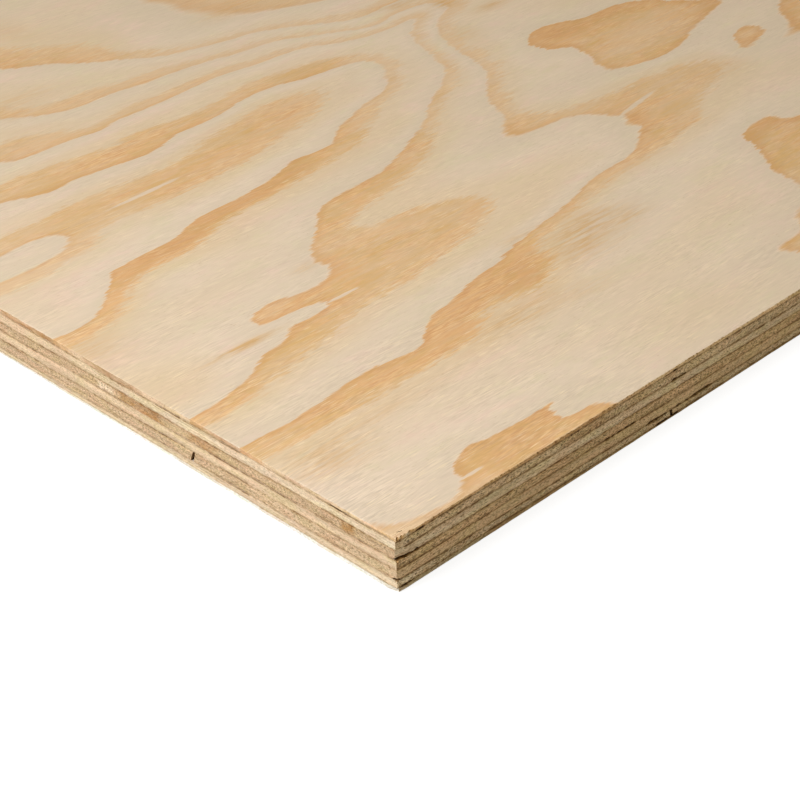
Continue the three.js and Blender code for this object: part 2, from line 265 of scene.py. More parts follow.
# The figure on the face near the corner. A line joins places where the knife came to the same side
# of a growth ring: a whole level is the sharp end of the late wood, whose colour lies on the side
# of the lower level, and a half level is where that colour has faded out.
figureLines = [
    (1, [(9, 193), (20, 193), (30, 194), (38, 197), (43, 202), (42, 205.5), (36, 207.5),
          (28, 207.5), (18, 206)]),
    (1.15, [(12, 199), (25, 200), (36, 202)]),
    (0.85, [(60, 210), (78, 209), (95, 210.5)]),
    (0.8, [(20, 189), (45, 192), (58, 208), (110, 209), (145, 218), (172, 224)]),
    (0.5, [(0, 183), (20, 184), (35, 186), (48, 190), (56, 196), (70, 198.5), (100, 199),
          (120, 201), (135, 203), (150, 207), (165, 211), (178, 216), (188, 222), (191, 227),
          (185, 231), (172, 233.5), (160, 234.5), (148, 232), (138, 229), (125, 225), (112, 221),
          (95, 219.5), (80, 220.5), (60, 221), (40, 219.5), (30, 219.5)]),
    (0.25, [(8, 168), (30, 177), (60, 185), (90, 190), (120, 194), (150, 198), (180, 208),
          (205, 225), (212, 233), (190, 237), (160, 239.5), (130, 233), (100, 226.5), (70, 227.5),
          (45, 229)]),
    (0, [(0, 151.5), (8, 150.3), (14, 151), (18.5, 153), (23, 156.2), (27, 159.8), (31, 162.8),
          (34.2, 166), (36.5, 169.5), (38.5, 171.7), (43, 172.4), (48, 172.6), (62, 174), (70, 175),
          (80, 179), (90, 180.5), (105, 181.5), (118, 183.5), (128, 186), (138, 190), (148, 189),
          (156, 189), (163, 194), (170, 199), (180, 202), (190, 206), (203, 209), (210, 214),
          (217, 222), (221, 228), (218, 237), (210, 238.5), (200, 239.5), (190, 240.5), (182, 243),
          (170, 244), (160, 243), (150, 240), (140, 238.5), (125, 238), (118, 236), (110, 233),
          (103, 232.5), (90, 233.5), (75, 235), (62, 233), (52, 236), (44, 239)]),
    (-0.5, [(0, 141.5), (15, 144), (28, 150), (37, 157.5), (45, 162), (60, 163.3), (75, 166),
          (85, 170), (100, 173), (115, 174), (130, 176), (145, 178.5), (158, 180.5), (168, 184),
          (178, 191), (190, 197), (200, 202), (212, 208), (222, 216), (229, 225), (230, 234),
          (226, 242), (215, 249), (200, 252), (180, 255), (165, 254), (150, 250.5), (138, 249),
          (122, 251), (112, 252.5), (103, 247), (92, 249.5), (70, 252.5), (50, 252)]),
    (-1, [(0, 85), (10, 85.5), (22, 88), (30, 91), (38, 96), (47, 97), (56, 103.4), (60, 103),
          (65, 102), (70, 102.6), (74, 103.6), (73, 105.8), (69, 106.6), (65, 108.2), (60, 108.6),
          (54, 108.8), (49, 109.6), (49.5, 113), (52.5, 116.2), (57, 117.7), (62, 118.2),
          (67.5, 117.6), (71, 116.2), (75, 115.1), (80, 115.4), (86, 118), (90.3, 121.3),
          (89.4, 125), (88.6, 127.2), (90.2, 130), (95, 135.4), (101, 140.4), (106, 144.4),
          (110.5, 148.6), (114.5, 152.6), (117.9, 155), (122, 156), (130, 157), (145, 158.5),
          (155, 160), (163, 163), (170, 166), (180, 171), (190, 175.5), (198, 180), (205, 186),
          (212, 191), (222, 196), (232, 203), (238, 210), (243, 220), (245, 228), (250, 237),
          (258, 246), (266, 252)]),
    (-0.94, [(57, 106.2), (66, 105.2)]),
    (-1.15, [(53, 113.5), (62, 113.5), (75, 111.8), (85, 112)]),
    (-0.75, [(20, 120), (48, 136), (75, 148), (105, 163), (150, 170), (205, 196), (235, 222),
          (238, 243)]),
    (-1.25, [(20, 84), (70, 97), (95, 108), (120, 118), (140, 114), (150, 121), (105, 130),
          (125, 151)]),
    (-1, [(63, 266), (68, 263), (80, 262.5), (95, 263), (105, 261), (115, 264), (130, 264.5),
          (145, 265.5), (160, 267), (170, 267.5), (180, 266), (190, 265), (205, 264.5), (215, 262),
          (225, 257), (235, 254), (245, 252.5), (255, 252), (262, 253)]),
    (-1.5, [(0, 79), (16, 79), (30, 82), (45, 86), (55, 87.5), (63, 89), (72, 93), (85, 95),
          (105, 96.5), (125, 99.5), (145, 103.5), (158, 109), (165, 116), (160, 123), (148, 129),
          (132, 132), (118, 134.5), (117, 138), (128, 143), (145, 146.5), (160, 150.5), (170, 155),
          (180, 161), (190, 168), (200, 176), (210, 184), (222, 189), (235, 197), (243, 207),
          (248, 220), (252, 232), (260, 243)]),
    (-1.5, [(262, 259), (250, 257), (235, 260), (220, 267), (205, 270), (190, 272), (170, 273),
          (155, 273), (140, 272), (125, 272), (112, 269), (104, 268), (98, 272), (92, 277),
          (82, 281), (72, 282)]),
    (-2, [(0, 63), (10, 62.5), (20, 62.5), (30, 63.5), (40, 65), (52, 66), (60, 66), (66, 65),
          (72, 63.5), (78, 66), (84, 71), (90, 74.5), (98, 76), (105, 77), (112, 80), (120, 82),
          (130, 83), (140, 86), (150, 88.5), (160, 90.5), (170, 92), (180, 94.5), (190, 97.5),
          (200, 100), (210, 101.5), (220, 102), (228, 104), (236, 109), (244, 114), (247, 116),
          (243, 118), (241, 120), (247, 123), (249, 125.5), (246, 128.5), (242, 133), (239, 137),
          (236, 139), (231, 140.5), (222, 141), (212, 142), (204, 146), (207, 150), (213, 155),
          (219, 160), (222, 167), (226, 174), (231, 180), (238, 186), (245, 193), (249, 203),
          (251, 213), (254, 222), (258, 231), (265, 240), (273, 246), (280, 249), (285, 253)]),
    (-2.25, [(40, 59), (80, 59), (120, 72), (135, 76), (225, 147), (260, 113), (285, 125),
          (260, 136)]),
    (-2.34, [(120, 66.5), (128, 66), (135, 69.5), (141, 75)]),
    (-2.68, [(128, 55), (138, 58.5), (147, 65), (154, 73)]),
    (-2, [(85, 298), (92, 293), (100, 288), (108, 285), (120, 284.5), (130, 285.5), (140, 284),
          (155, 283.5), (170, 283), (180, 281.5), (187, 280), (200, 279), (210, 277), (220, 272),
          (230, 267), (240, 262), (245, 260), (255, 259), (265, 262)]),
    (-2.5, [(0, 53), (20, 53), (50, 54.2), (70, 54.8), (85, 55), (92, 56), (97, 59), (102, 62.8),
          (112, 64.8), (124, 63.3), (127, 60), (134, 63), (141, 68), (147, 73), (151, 81),
          (160, 84.5), (175, 88), (190, 90.5), (205, 94), (220, 95.5), (240, 97), (255, 100),
          (268, 102.5), (275, 109), (285, 113.5), (300, 117.5), (312, 123), (318, 131), (305, 141),
          (285, 143.5), (260, 144), (242, 146), (232, 152), (228, 160), (233, 168), (240, 178),
          (250, 188), (258, 200), (262, 215), (268, 228), (280, 238)]),
    (-2.5, [(97, 301), (110, 297), (125, 297), (140, 293), (155, 294), (165, 291), (180, 287),
          (195, 285), (212, 283), (225, 277), (238, 268)]),
    (-3, [(115, 337), (118, 334), (125, 331), (132, 326), (138, 320), (146, 314), (153, 310),
          (158, 306), (165, 301), (172, 298), (182, 296), (195, 293), (205, 292), (212, 290),
          (220, 286), (228, 282), (236, 277), (245, 272)]),
    (-3, [(276.5, 196.5), (278, 199.8), (281, 203.2), (286, 205.8), (293, 207.4), (300, 206.8),
          (306, 205), (312, 202), (322, 200.3), (335, 200.8), (348, 195), (355, 187)]),
    (-3, [(279, 192), (277, 189), (283, 186), (287, 183), (285, 178), (283, 170), (279, 162),
          (279, 158), (283, 155), (290, 153), (300, 151), (310, 150.5), (318, 152), (326, 154),
          (335, 158), (345, 161), (355, 164), (372, 169)]),
    (-3, [(331, 133), (337, 137), (341, 142), (347, 145), (353, 146), (357, 143), (356, 138),
          (350, 134), (342, 132), (335, 130)]),
    (-3, [(355, 124), (365, 133), (372, 139), (374, 144), (382, 150), (388, 152)]),
    (-3, [(296, 78), (291, 79), (288.5, 80.2), (289.2, 83), (288, 86), (284, 87), (278, 86),
          (272.5, 85.3), (266, 83.4), (263, 81.5), (262.7, 77.9), (261.8, 74.3), (258.8, 71),
          (258.3, 68.5), (254.4, 64.3), (250.9, 60.2), (248.5, 55.1), (247.8, 49.1), (246.3, 44.8),
          (244, 41.5), (233.6, 34.3), (225.6, 31.7), (221.8, 27.5), (216, 22.1), (208.3, 23),
          (200.1, 21.2), (200.3, 18.4), (203, 16.2), (205.2, 14.5)]),
    (-3, [(0, 13), (2.7, 9), (4.5, 6.4), (7, 4.6), (10, 3.6), (14.6, 2.9), (19, 2), (23, 2),
          (27, 3.2), (30.5, 5.6), (32.4, 8.5), (33.2, 11.2), (35, 13), (38.2, 14.5), (41.7, 16),
          (45.1, 17), (48, 16.6), (52.4, 15.4), (57.6, 14.6), (64, 14.9), (70, 13.8), (76, 14.1),
          (80.8, 13.4), (77.5, 12.4), (74.6, 11.8), (78, 11.1), (81.1, 10.2), (78, 9.4), (74, 8.8),
          (76, 7.2), (79.5, 5.8), (84.6, 5.9), (89, 4.8), (92, 2.8), (92.6, -1)]),
    (-3.05, [(58, 12.8), (66, 12.6), (72, 12.8), (78, 13.2), (73, 10.3), (79, 10.2), (72, 7),
          (82, 4)]),
    (-2.94, [(68, 15.6), (77.5, 11.8), (80, 11.8), (77.5, 8.2), (80, 7.8), (84, 8)]),
    (-3.2, [(4, 2), (14, -1), (28, -1), (45, 8), (45, -3), (60, 5), (62, -3), (75, 2), (78, -4),
          (90, -3)]),
    (-3.36, [(312, 193), (340, 188)]),
    (-3.25, [(295, 166), (325, 170), (347, 140), (392, 134), (280, 60), (300, 45), (268, 68),
          (256, 50), (216, 18), (130, 336), (150, 318)]),
    (-2.75, [(20, 33), (60, 33), (100, 33), (130, 33), (165, 50), (200, 60), (170, 15), (140, 8),
          (120, 20), (235, 75), (300, 100), (335, 112), (320, 144), (360, 150), (365, 112),
          (270, 175), (272, 205), (300, 225), (345, 222), (320, 215)]),
    (-3.5, [(128, 358), (140, 347), (150, 340), (158, 326), (162, 314), (172, 305), (185, 301),
          (205, 297)]),
    (-3.75, [(145, 385), (160, 398), (175, 380), (188, 366)]),
    (-4, [(198, 355), (203, 345), (201, 335), (203, 328), (208, 320), (215, 312)]),
]

# How strongly the late wood is coloured at (u, v).
figureStrength = [
    (60, 170, 1.3), (92, 177, 1.3), (130, 182, 1.3), (160, 189, 0.9), (185, 197, 0.75),
    (220, 225, 0.3), (245, 225, 0.3), (250, 200, 0.25), (262, 240, 0.35), (200, 200, 0.55),
    (100, 243, 1), (190, 247, 1), (140, 220, 0.95), (60, 212, 0.8), (80, 270, 0.7),
    (120, 267, 0.65), (160, 269, 0.65), (195, 267, 0.4), (220, 265, 0.25), (115, 290, 0.55),
    (150, 289, 0.5), (200, 280, 0.3), (122, 342, 0.8), (145, 322, 0.7), (175, 300, 0.4),
    (20, 84, 0.9), (40, 60, 1.1), (120, 72, 1.1), (170, 89, 0.9), (195, 95, 0.8), (210, 98, 0.8),
    (225, 99, 0.65), (255, 118, 1), (265, 105, 0.8), (290, 125, 0.6), (308, 128, 0.4),
    (270, 137, 0.7), (213, 146, 0.8), (226, 160, 0.35), (235, 143, 0.6), (290, 198, 1.4),
    (310, 195, 1.3), (335, 195, 1.2), (130, 69, 1.3), (290, 185, 0.9), (325, 172, 0.5),
    (300, 166, 0.6), (310, 155, 0.9), (345, 165, 0.7), (366, 170, 1), (347, 139, 0.9),
    (385, 142, 0.8), (280, 60, 1), (270, 80, 1), (230, 38, 0.6), (205, 18, 0.8), (45, 10, 1.25),
    (65, 8, 1.25), (15, 3, 0.6), (5, 8, 0.4), (88, 4, 0.7), (100, 130, 0.8), (130, 115, 0.9),
    (155, 116, 0.8), (140, 151, 1), (175, 165, 0.85), (200, 182, 0.6), (225, 197, 0.4),
    (210, 330, 0.45), (25, 190, 0.45), (45, 194, 0.5),
]

# Places where the knife only skimmed the late wood and left the face tan: u, v, how far each
# reaches along and across the grain, and how strong it is.
skimmedWood = [
    (14, 41, 15, 8, 0.5), (108, 55, 22, 7, 0.5), (45, 47, 30, 4, 0.25), (168, 76, 22, 10, 0.45),
    (5, 137, 11, 9, 0.4), (38, 104, 12, 1.3, 1.3), (86, 127, 5, 2.5, 0.4), (310, 126, 18, 8, 0.3),
    (288, 256, 6, 4, 0.9), (276, 269, 12, 4, 0.6), (300, 239, 10, 3.5, 0.6), (268, 226, 8, 8, 0.3),
    (176, 81, 12, 4, 0.4), (187, 72, 9, 3, 0.3), (148, 90, 9, 3, 0.3), (100, 308, 20, 7, 0.35),
    (92, 298, 8, 4, 0.4), (140, 370, 10, 16, 0.25), (220, 318, 15, 6, 0.5), (141, 50, 14, 5, 0.2),
    (156, 69, 14, 8, 0.3),
]

# How the rest of a veneer is figured, and how the face passes into it.
peeling = {
    "turn": 736,  # millimetres of veneer that come off the log in one turn
    "grainStretch": 0.5,  # figure is this much as quick along the grain as across it
    "lobe": 2.1,  # how many rings the log's shape strays by round a turn
    "swell": [(0.35, 900, 2000)],  # by what share that grows and shrinks, and over what distances
    "drifts": (700, 260),  # distances along the grain over which the lobes wander and bend
    # The lobes round the log: their number, their size, and how many radians they turn by as they
    # wander, as they bend and for each veneer.
    "lobes": [(1, 1, 1.3, 0, 1), (2, 0.55, -1.6, 0.5, 0), (5, 0.22, 0, 2.4, 0.8)],
    "taper": (0.0011, -0.0016),  # rings gained by a millimetre along the grain and across it
    "softness": 0.0004,  # how loosely the face figure passes through its lines
    "join": (8, 130),  # how far outside its lines the face figure starts and ends to give way
    "hintReach": 12,  # how far a hint of the late wood's strength holds
    "slow": [(0.5, 170, 60), (0.22, 60, 19)],  # rings that it strays by, and over what distances
    "level": -2.6,  # the ring that the general figure of the face lies round
    "partSize": 6000,  # points that the plate is worked out for at a time
}


# The general figure of a rotary veneer, in rings: cosines round the turn, whose phases wander along
# the grain, plus the log's taper and a slow noise.
def peeledFigure(u, v, seed):
    angle = 2 * math.pi * v / peeling["turn"]
    wander, bend = (
        cellNoise(u / size, 0 * u + (index + 1) * seed, seed + index)
        for index, size in enumerate(peeling["drifts"])
    )
    lobes = sum(
        size * np.cos(count * angle + byWander * wander + byBend * bend + bySeed * seed)
        for count, size, byWander, byBend, bySeed in peeling["lobes"]
    )
    swell = 1 + mixedNoise(u, v, seed + 2, peeling["swell"])
    slow = mixedNoise(u, v, seed + 3, peeling["slow"])
    along, across = peeling["taper"]
    return peeling["lobe"] * swell * lobes + slow + along * u + across * v


# The thin plate through the figure lines: a tilted plane plus one r^2 log r term a point, where r
# is the distance from that point in hundreds of millimetres, with the weights that give every
# point its level.
def plateThrough(lines):
    points = np.concatenate([np.array(line, float) for level, line in lines])
    levels = np.concatenate([np.full(len(line), float(level)) for level, line in lines])
    stretch = np.array([peeling["grainStretch"], 1.0]) / 100
    count = len(points)

    def bent(places):
        gaps = places[:, None, :] * stretch - points[None, :, :] * stretch
        square = (gaps**2).sum(-1)
        return 0.5 * square * np.log(square + 1e-12)

    def tilted(places):
        return np.column_stack([np.ones(len(places)), places * stretch])

    flat = tilted(points)
    system = np.zeros((count + 3, count + 3))
    system[:count, :count] = bent(points) + peeling["softness"] * np.eye(count)
    system[:count, count:], system[count:, :count] = flat, flat.T
    weights = np.linalg.solve(system, np.append(levels, np.zeros(3)))

    def heightAt(u, v):
        places = np.column_stack([u.ravel(), v.ravel()])
        parts = np.array_split(places, max(1, len(places) // peeling["partSize"]))
        heights = [bent(part) @ weights[:count] + tilted(part) @ weights[count:] for part in parts]
        return np.concatenate(heights).reshape(u.shape)

    return heightAt


figurePlate = plateThrough(figureLines)

# The sides of the triangle that the lines cover. Each is a, b, c and n in the distance outside it,
# (a u + b v + c) / n.
triangle = [(-1.40, 1, -178, 1.72), (1, 0.914, -525.514, 1.355), (1, -1.44, -184, 1.753)]


# The face's figure: the plate near the corner, the general one elsewhere. The share of the plate
# falls smoothly with the distance outside the triangle.
def faceFigure(u, v):
    outside = 0 * u
    for a, b, c, n in triangle:
        outside = np.maximum(outside, (a * u + b * v + c) / n)
    share = 1 - ramp(outside, *peeling["join"])
    rings = peeledFigure(u, v, 3) + peeling["level"]
    touched = share > 0
    if touched.any():
        rings[touched] += share[touched] * (figurePlate(u[touched], v[touched]) - rings[touched])
    return rings


# The strength of the late wood colour: the average of the hints round (u, v), each counting as
# 1 / (d^2 + 12^2) squared, d being its distance with the grain direction halved.
def faceStrength(u, v):
    total, weight = 0 * u, 0 * u
    for hintU, hintV, strength in figureStrength:
        square = ((u - hintU) * peeling["grainStretch"]) ** 2 + (v - hintV) ** 2
        near = 1 / (square + peeling["hintReach"] ** 2) ** 2
        total = total + near * strength
        weight = weight + near
    return total / weight


# How tan the face is at (u, v): for each skimmed place its strength times e^-(a^2 + b^2), a and b
# being the distances from it along and across the grain over its reaches.
def faceTan(u, v):
    total = 0 * u
    for placeU, placeV, reachU, reachV, strength in skimmedWood:
        square = ((u - placeU) / reachU) ** 2 + ((v - placeV) / reachV) ** 2
        total = total + strength * np.exp(-square)
    return total


# Where the outline has its stops: close together by the near corner, where the cut is looked at
# from a hand's breadth away, and further apart beyond. Each band has its end and its spacing.
outlineDetail = {
    "nearBands": [(3, 0.15), (205, 0.3), (420, 1.3), (900, 5), (2438.4, 9)],
    "farBands": [(2438.4, 8)],
    "jointStops": np.arange(83.5, 85.95, 0.1),  # finer ones at the open joint
    "crackStops": np.arange(118.4, 120.05, 0.1),  # and at the split
    "cornerReach": 4,  # how far from a corner its setback is still shared out
    "rows": [0, 0.05, 0.12, 0.22, 0.38, 0.62],  # heights above the lower glue line, below the upper
    "middleRows": [0.42, 0.58],  # and those between, as shares of the ply's thickness
    "thinPly": 2,  # a ply thinner than this has none between
    "sharp": 50,  # two faces that turn by more degrees than this meet in a sharp edge
}


# The stops round the outline, counter-clockwise from the near corner: which edge each is on, its
# place, and how it moves when the edge is worn in by 1. It moves straight into the sheet, and
# within a corner's reach also along the edge, by as much as is left of that reach.
def outlineStops():
    near, far = outlineDetail["nearBands"], outlineDetail["farBands"]
    nearLong = gradedStops(sheetLength, near, outlineDetail["crackStops"])[:-1]
    farShort = gradedStops(sheetWidth, far)[:-1]
    farLong = gradedStops(sheetLength, far)[:-1]
    nearShort = gradedStops(sheetWidth, near, outlineDetail["jointStops"])[:0:-1]
    sides = [nearLong, farShort, farLong, nearShort]
    edge = np.repeat([0, 1, 2, 3], [len(side) for side in sides])
    us = [nearLong, 0 * farShort + sheetLength, sheetLength - farLong, 0 * nearShort]
    vs = [0 * nearLong, farShort, 0 * farLong + sheetWidth, nearShort]
    u, v = np.concatenate(us), np.concatenate(vs)
    reach = outlineDetail["cornerReach"]
    inU = np.clip(1 - u / reach, 0, 1) - np.clip(1 - (sheetLength - u) / reach, 0, 1)
    inV = np.clip(1 - v / reach, 0, 1) - np.clip(1 - (sheetWidth - v) / reach, 0, 1)
    return {"edge": edge, "u": u, "v": v, "inU": inU, "inV": inV}


outline = outlineStops()
stopCount = len(outline["u"])

# How deep the saw and what came after it left the cut, in millimetres, and how dark.
sawing = {
    "endDepth": 0.07,  # how far end grain is set back
    "longDepth": 0.06,  # and grain that runs along the edge
    "endFibres": [(0.6, 0.55, 0.4), (0.4, 1.7, 0.9)],  # how rough end grain is: shares and sizes
    "longFibres": [(0.42, 5, 0.24), (0.28, 1.3, 0.45)],  # and the other
    "marks": [(0.02, 2.3, 1)],  # the marks of the saw's teeth
    "glueDepth": 0.1,  # how far a dark part of a glue line is set back
    "glueReach": 0.13,  # and how far from the line that is felt
    "stainReach": (0.17, 0.1),  # how far its colour reaches, and how much further where it's dark
    "haloReach": 0.5,  # and how far a faint halo round it does
    "halo": 0.32,  # how dark that is
    "hollow": (1.8, 0.4),  # how dark the painted shade in an opening is, 1 being glue, and from what share of its depth
    "chip": (0.9, 0.7),  # and the painted shade in a chip of the arris
    "notchRim": (0.14, 0.02),  # where beside a notch its painted shade starts, and where it is full
    "splinters": [(0.9, 0.8, 1), (0.5, 3.1, 1)],  # where the arris has frayed: shares and sizes
    "splinterReach": 0.3,  # how far down it has
    "splinterShade": (4, 0.2, 0.26),  # how dark the painted shade is, how far down, and how far it spreads
    "patches": (0.8, [(0.5, 2.2, 0.8)]),  # how strong a patch is, and what breaks it up
    "sanded": 0.25,  # how far down the top arris has been sanded
    "sanding": (0.6, [(0.4, 0.9, 1)]),  # how much of it, and what makes that uneven
}


# How deep a hollow is at each place, from 0 to 1: half an ellipsoid from start to end along the
# edge, which reaches height up and down from its own level.
def hollowAt(along, start, end, gap, height):
    half = (end - start) / 2
    across = (along - start - half) / half
    return np.sqrt(np.clip(1 - across**2 - (gap / height) ** 2, 0, 1))


# How far the cut has been worn in from the trimmed plane, and how dark glue stains it and painted
# shade darkens it in openings, notches, chips and under splinters, at places along an edge (0 to 3)
# and at a height. low and high are the glue lines below and above.
# The fibres' roughness, the saw's marks and each glue line's groove, e^-(gap/reach)^2, add up.
def cutSurface(ply, edge, along, z, low, high):
    near = edge in (0, 3)
    side = ("long", "short")[edge % 2]
    seed = ply["seed"] + 7 * edge
    above, below = z - low, high - z
    grain = "end" if (side == "long") == ply["cross"] else "long"
    fibres = mixedNoise(along, z, seed, sawing[grain + "Fibres"])
    worn = sawing[grain + "Depth"] + ply["fuzz"] * fibres
    worn = worn + mixedNoise(along, 0 * z, seed + 2, sawing["marks"])
    stainAndShade = 0 * z

    # Sinks a hollow into the cut and paints its shade into it.
    def sink(start, end, gap, height, depth, kind):
        dark, full = sawing[kind]
        hollow = hollowAt(along, start, end, gap, height)
        return worn + depth * hollow, np.maximum(stainAndShade, dark * ramp(hollow, 0, full))

    for index, gap in ((ply["place"] - 1, above), (ply["place"], below)):
        if not 0 <= index < len(glueLines):
            continue
        wear = glueWear(glueLines[index], side, along) if near else bond["far"] + 0 * along
        worn = worn + sawing["glueDepth"] * wear * np.exp(-((gap / sawing["glueReach"]) ** 2))
        least, more = sawing["stainReach"]
        reach = least + more * wear
        stainAndShade = np.maximum(stainAndShade, wear * np.exp(-((gap / reach) ** 2)))
        halo = sawing["halo"] * wear * np.exp(-((gap / sawing["haloReach"]) ** 2))
        stainAndShade = np.maximum(stainAndShade, halo)
        for line, place, start, end, height, depth in openings:
            if near and (line, place) == (index, side):
                worn, stainAndShade = sink(start, end, gap, height, depth, "hollow")
    if not near:
        return np.maximum(worn, 0.0), stainAndShade

    # A notch leans, is deepest in the middle three quarters of its width, and closes evenly to its
    # rims. Its inside is painted dark as its shade.
    mark = ply.get("notch")
    if mark and mark["edge"] == side:
        rise = above / (above + below)
        across = np.abs(along - mark["at"] - mark["lean"] * (0.5 - rise))
        width = mark["width"] * (1 - mark["taper"] * rise)
        worn = worn + mark["depth"] * np.clip(4 - 8 * across / width, 0, 1)
        outer, inner = sawing["notchRim"]
        dark = ramp(across, width / 2 + outer, width / 2 + inner)
        stainAndShade = np.maximum(stainAndShade, sawing["hollow"][0] * dark)
    top = sheetHeight - z
    # Chips of the top arris are sunk and painted with their shade.
    for place, start, end, height, depth in ply.get("chips", []):
        if place == side:
            worn, stainAndShade = sink(start, end, top, height, depth, "chip")
    if "fray" in ply:
        frayed = ramp(mixedNoise(along, 0 * z, seed + 5, sawing["splinters"]), -0.3, 1.0)
        reached = np.exp(-((top / sawing["splinterReach"]) ** 2))
        worn = worn + ply["fray"][side] * frayed * reached
        # Below the frayed arris its shade is painted on.
        most, level, spread = sawing["splinterShade"]
        dark = most * ply["fray"][side] * ramp(frayed, 0.25, 1.0)
        stainAndShade = np.maximum(stainAndShade, dark * np.exp(-(((top - level) / spread) ** 2)))
    return np.maximum(worn, 0.0), stainAndShade


# Patches of another colour on a ply's near edges: a bump that is level from start to end and fades
# over a few millimetres, broken up by noise.
def cutPatches(ply, edge, along, z):
    patch = 0 * z
    strong, breaks = sawing["patches"]
    broken = strong + mixedNoise(along, z, ply["seed"] + 30, breaks)
    for place, start, end, tone, fade in ply.get("patches", []):
        if {"long": 0, "short": 3}[place] == edge:
            level = ramp(along, start - fade, start + fade)
            level = level * (1 - ramp(along, end - fade, end + fade))
            patch = patch + tone * level * broken
    return patch


# Where a stop is along the loop, from 0 to 4, seen from a smaller rectangle set in by inset.
def loopPlace(edge, u, v, inset):
    acrossLong = np.clip((u - inset) / (sheetLength - 2 * inset), 0, 1)
    acrossShort = np.clip((v - inset) / (sheetWidth - 2 * inset), 0, 1)
    return np.choose(edge, [acrossLong, 1 + acrossShort, 3 - acrossLong, 4 - acrossShort])


# Triangles between an outer loop of stops and the edge of a grid inside it. Each side's segments
# take turns by the place of their middles, and the other side's vertex reached by then is the
# triangle's third corner.
def stitchLoops(outerPlaces, innerPlaces, outerIds, innerIds):
    outerNext, innerNext = np.roll(outerIds, -1), np.roll(innerIds, -1)
    outerMiddle = (outerPlaces + np.append(outerPlaces[1:], 4)) / 2
    innerMiddle = (innerPlaces + np.append(innerPlaces[1:], 4)) / 2
    innerPast = np.searchsorted(innerMiddle, outerMiddle, "left") % len(innerIds)
    outerPast = np.searchsorted(outerMiddle, innerMiddle, "right") % len(outerIds)
    fromOuter = np.column_stack([outerIds, outerNext, innerIds[innerPast]])
    fromInner = np.column_stack([innerIds, outerIds[outerPast], innerNext])
    return np.concatenate([fromOuter, fromInner])


# Quads between two loops of the same stops, lower below upper when seen from outside.
def bandBetween(lower, upper):
    return np.column_stack([lower, np.roll(lower, -1), np.roll(upper, -1), upper])


# Builds a mesh from whole arrays: points in millimetres, quads and triangles of point numbers, one
# dictionary of values a point and one of values a face.
def meshObject(name, points, quads, triangles, pointValues, faceValues):
    mesh = bpy.data.meshes.new(name)
    mesh.vertices.add(len(points))
    mesh.vertices.foreach_set("co", ((points + lowest) * metres).astype(np.float32).ravel())
    corners = np.concatenate([quads.ravel(), triangles.ravel()]).astype(np.int32)
    sizes = np.repeat([4, 3], [len(quads), len(triangles)])
    mesh.loops.add(len(corners))
    mesh.loops.foreach_set("vertex_index", corners)
    mesh.polygons.add(len(sizes))
    mesh.polygons.foreach_set("loop_start", (np.cumsum(sizes) - sizes).astype(np.int32))
    for domain, table in (("POINT", pointValues), ("FACE", faceValues)):
        for key, values in table.items():
            held = mesh.attributes.new(key, "FLOAT", domain)
            held.data.foreach_set("value", values.astype(np.float32))
    mesh.update(calc_edges=True)
    mesh.validate()
    mesh.shade_smooth()
    mesh.set_sharp_from_angle(angle=math.radians(outlineDetail["sharp"]))
    piece = bpy.data.objects.new(name, mesh)
    bpy.context.scene.collection.objects.link(piece)
    return piece


# A flat face of a ply. The stops of its outline are joined by rings, each set in from the edge and
# dropped by a little, to a grid of us by vs. height gives z at (u, v). Points come back in one
# block, numbered from firstId on.
def flatFace(edgeU, edgeV, edgeIds, firstId, rings, grid, height, upward):
    blocks, quads = [], []
    previous, nextId = edgeIds, firstId
    for inset, drop in rings:
        u = edgeU + outline["inU"] * inset
        v = edgeV + outline["inV"] * inset
        blocks.append(np.column_stack([u, v, height(u, v) - drop]))
        ids = nextId + np.arange(stopCount)
        quads.append(bandBetween(previous, ids))
        previous = ids
        nextId += stopCount
    gridU, gridV = np.meshgrid(*grid, indexing="ij")
    blocks.append(np.column_stack([gridU.ravel(), gridV.ravel(), height(gridU, gridV).ravel()]))
    ids = nextId + np.arange(gridU.size).reshape(gridU.shape)
    cells = [ids[:-1, :-1], ids[1:, :-1], ids[1:, 1:], ids[:-1, 1:]]
    quads.append(np.column_stack([corner.ravel() for corner in cells]))
    rim, rimU, rimV = (
        np.concatenate([table[:-1, 0], table[-1, :-1], table[:0:-1, -1], table[0, :0:-1]])
        for table in (ids, gridU, gridV)
    )
    steps = [len(stops) - 1 for stops in grid]
    rimPlace = loopPlace(np.repeat([0, 1, 2, 3], steps * 2), rimU, rimV, grid[0][0])
    edgePlace = loopPlace(outline["edge"], outline["u"], outline["v"], grid[0][0])
    triangles = stitchLoops(edgePlace, rimPlace, previous, rim)
    quads = np.concatenate(quads)
    turned = 1 if upward else -1
    return np.concatenate(blocks), quads[:, ::turned], triangles[:, ::turned]


# How a ply tells its material of its figure.
telling = {
    "steps": (1.5, 0.7),  # how far along and across the grain its slope is measured
    "ragged": (2.6, 0.85),  # how ragged a slope of a ring a millimetre along each makes it
    "mostRagged": 0.24,
    "rough": (0.55, 1.05, 170),  # roughness far off, what the near corner adds, and its reach
}


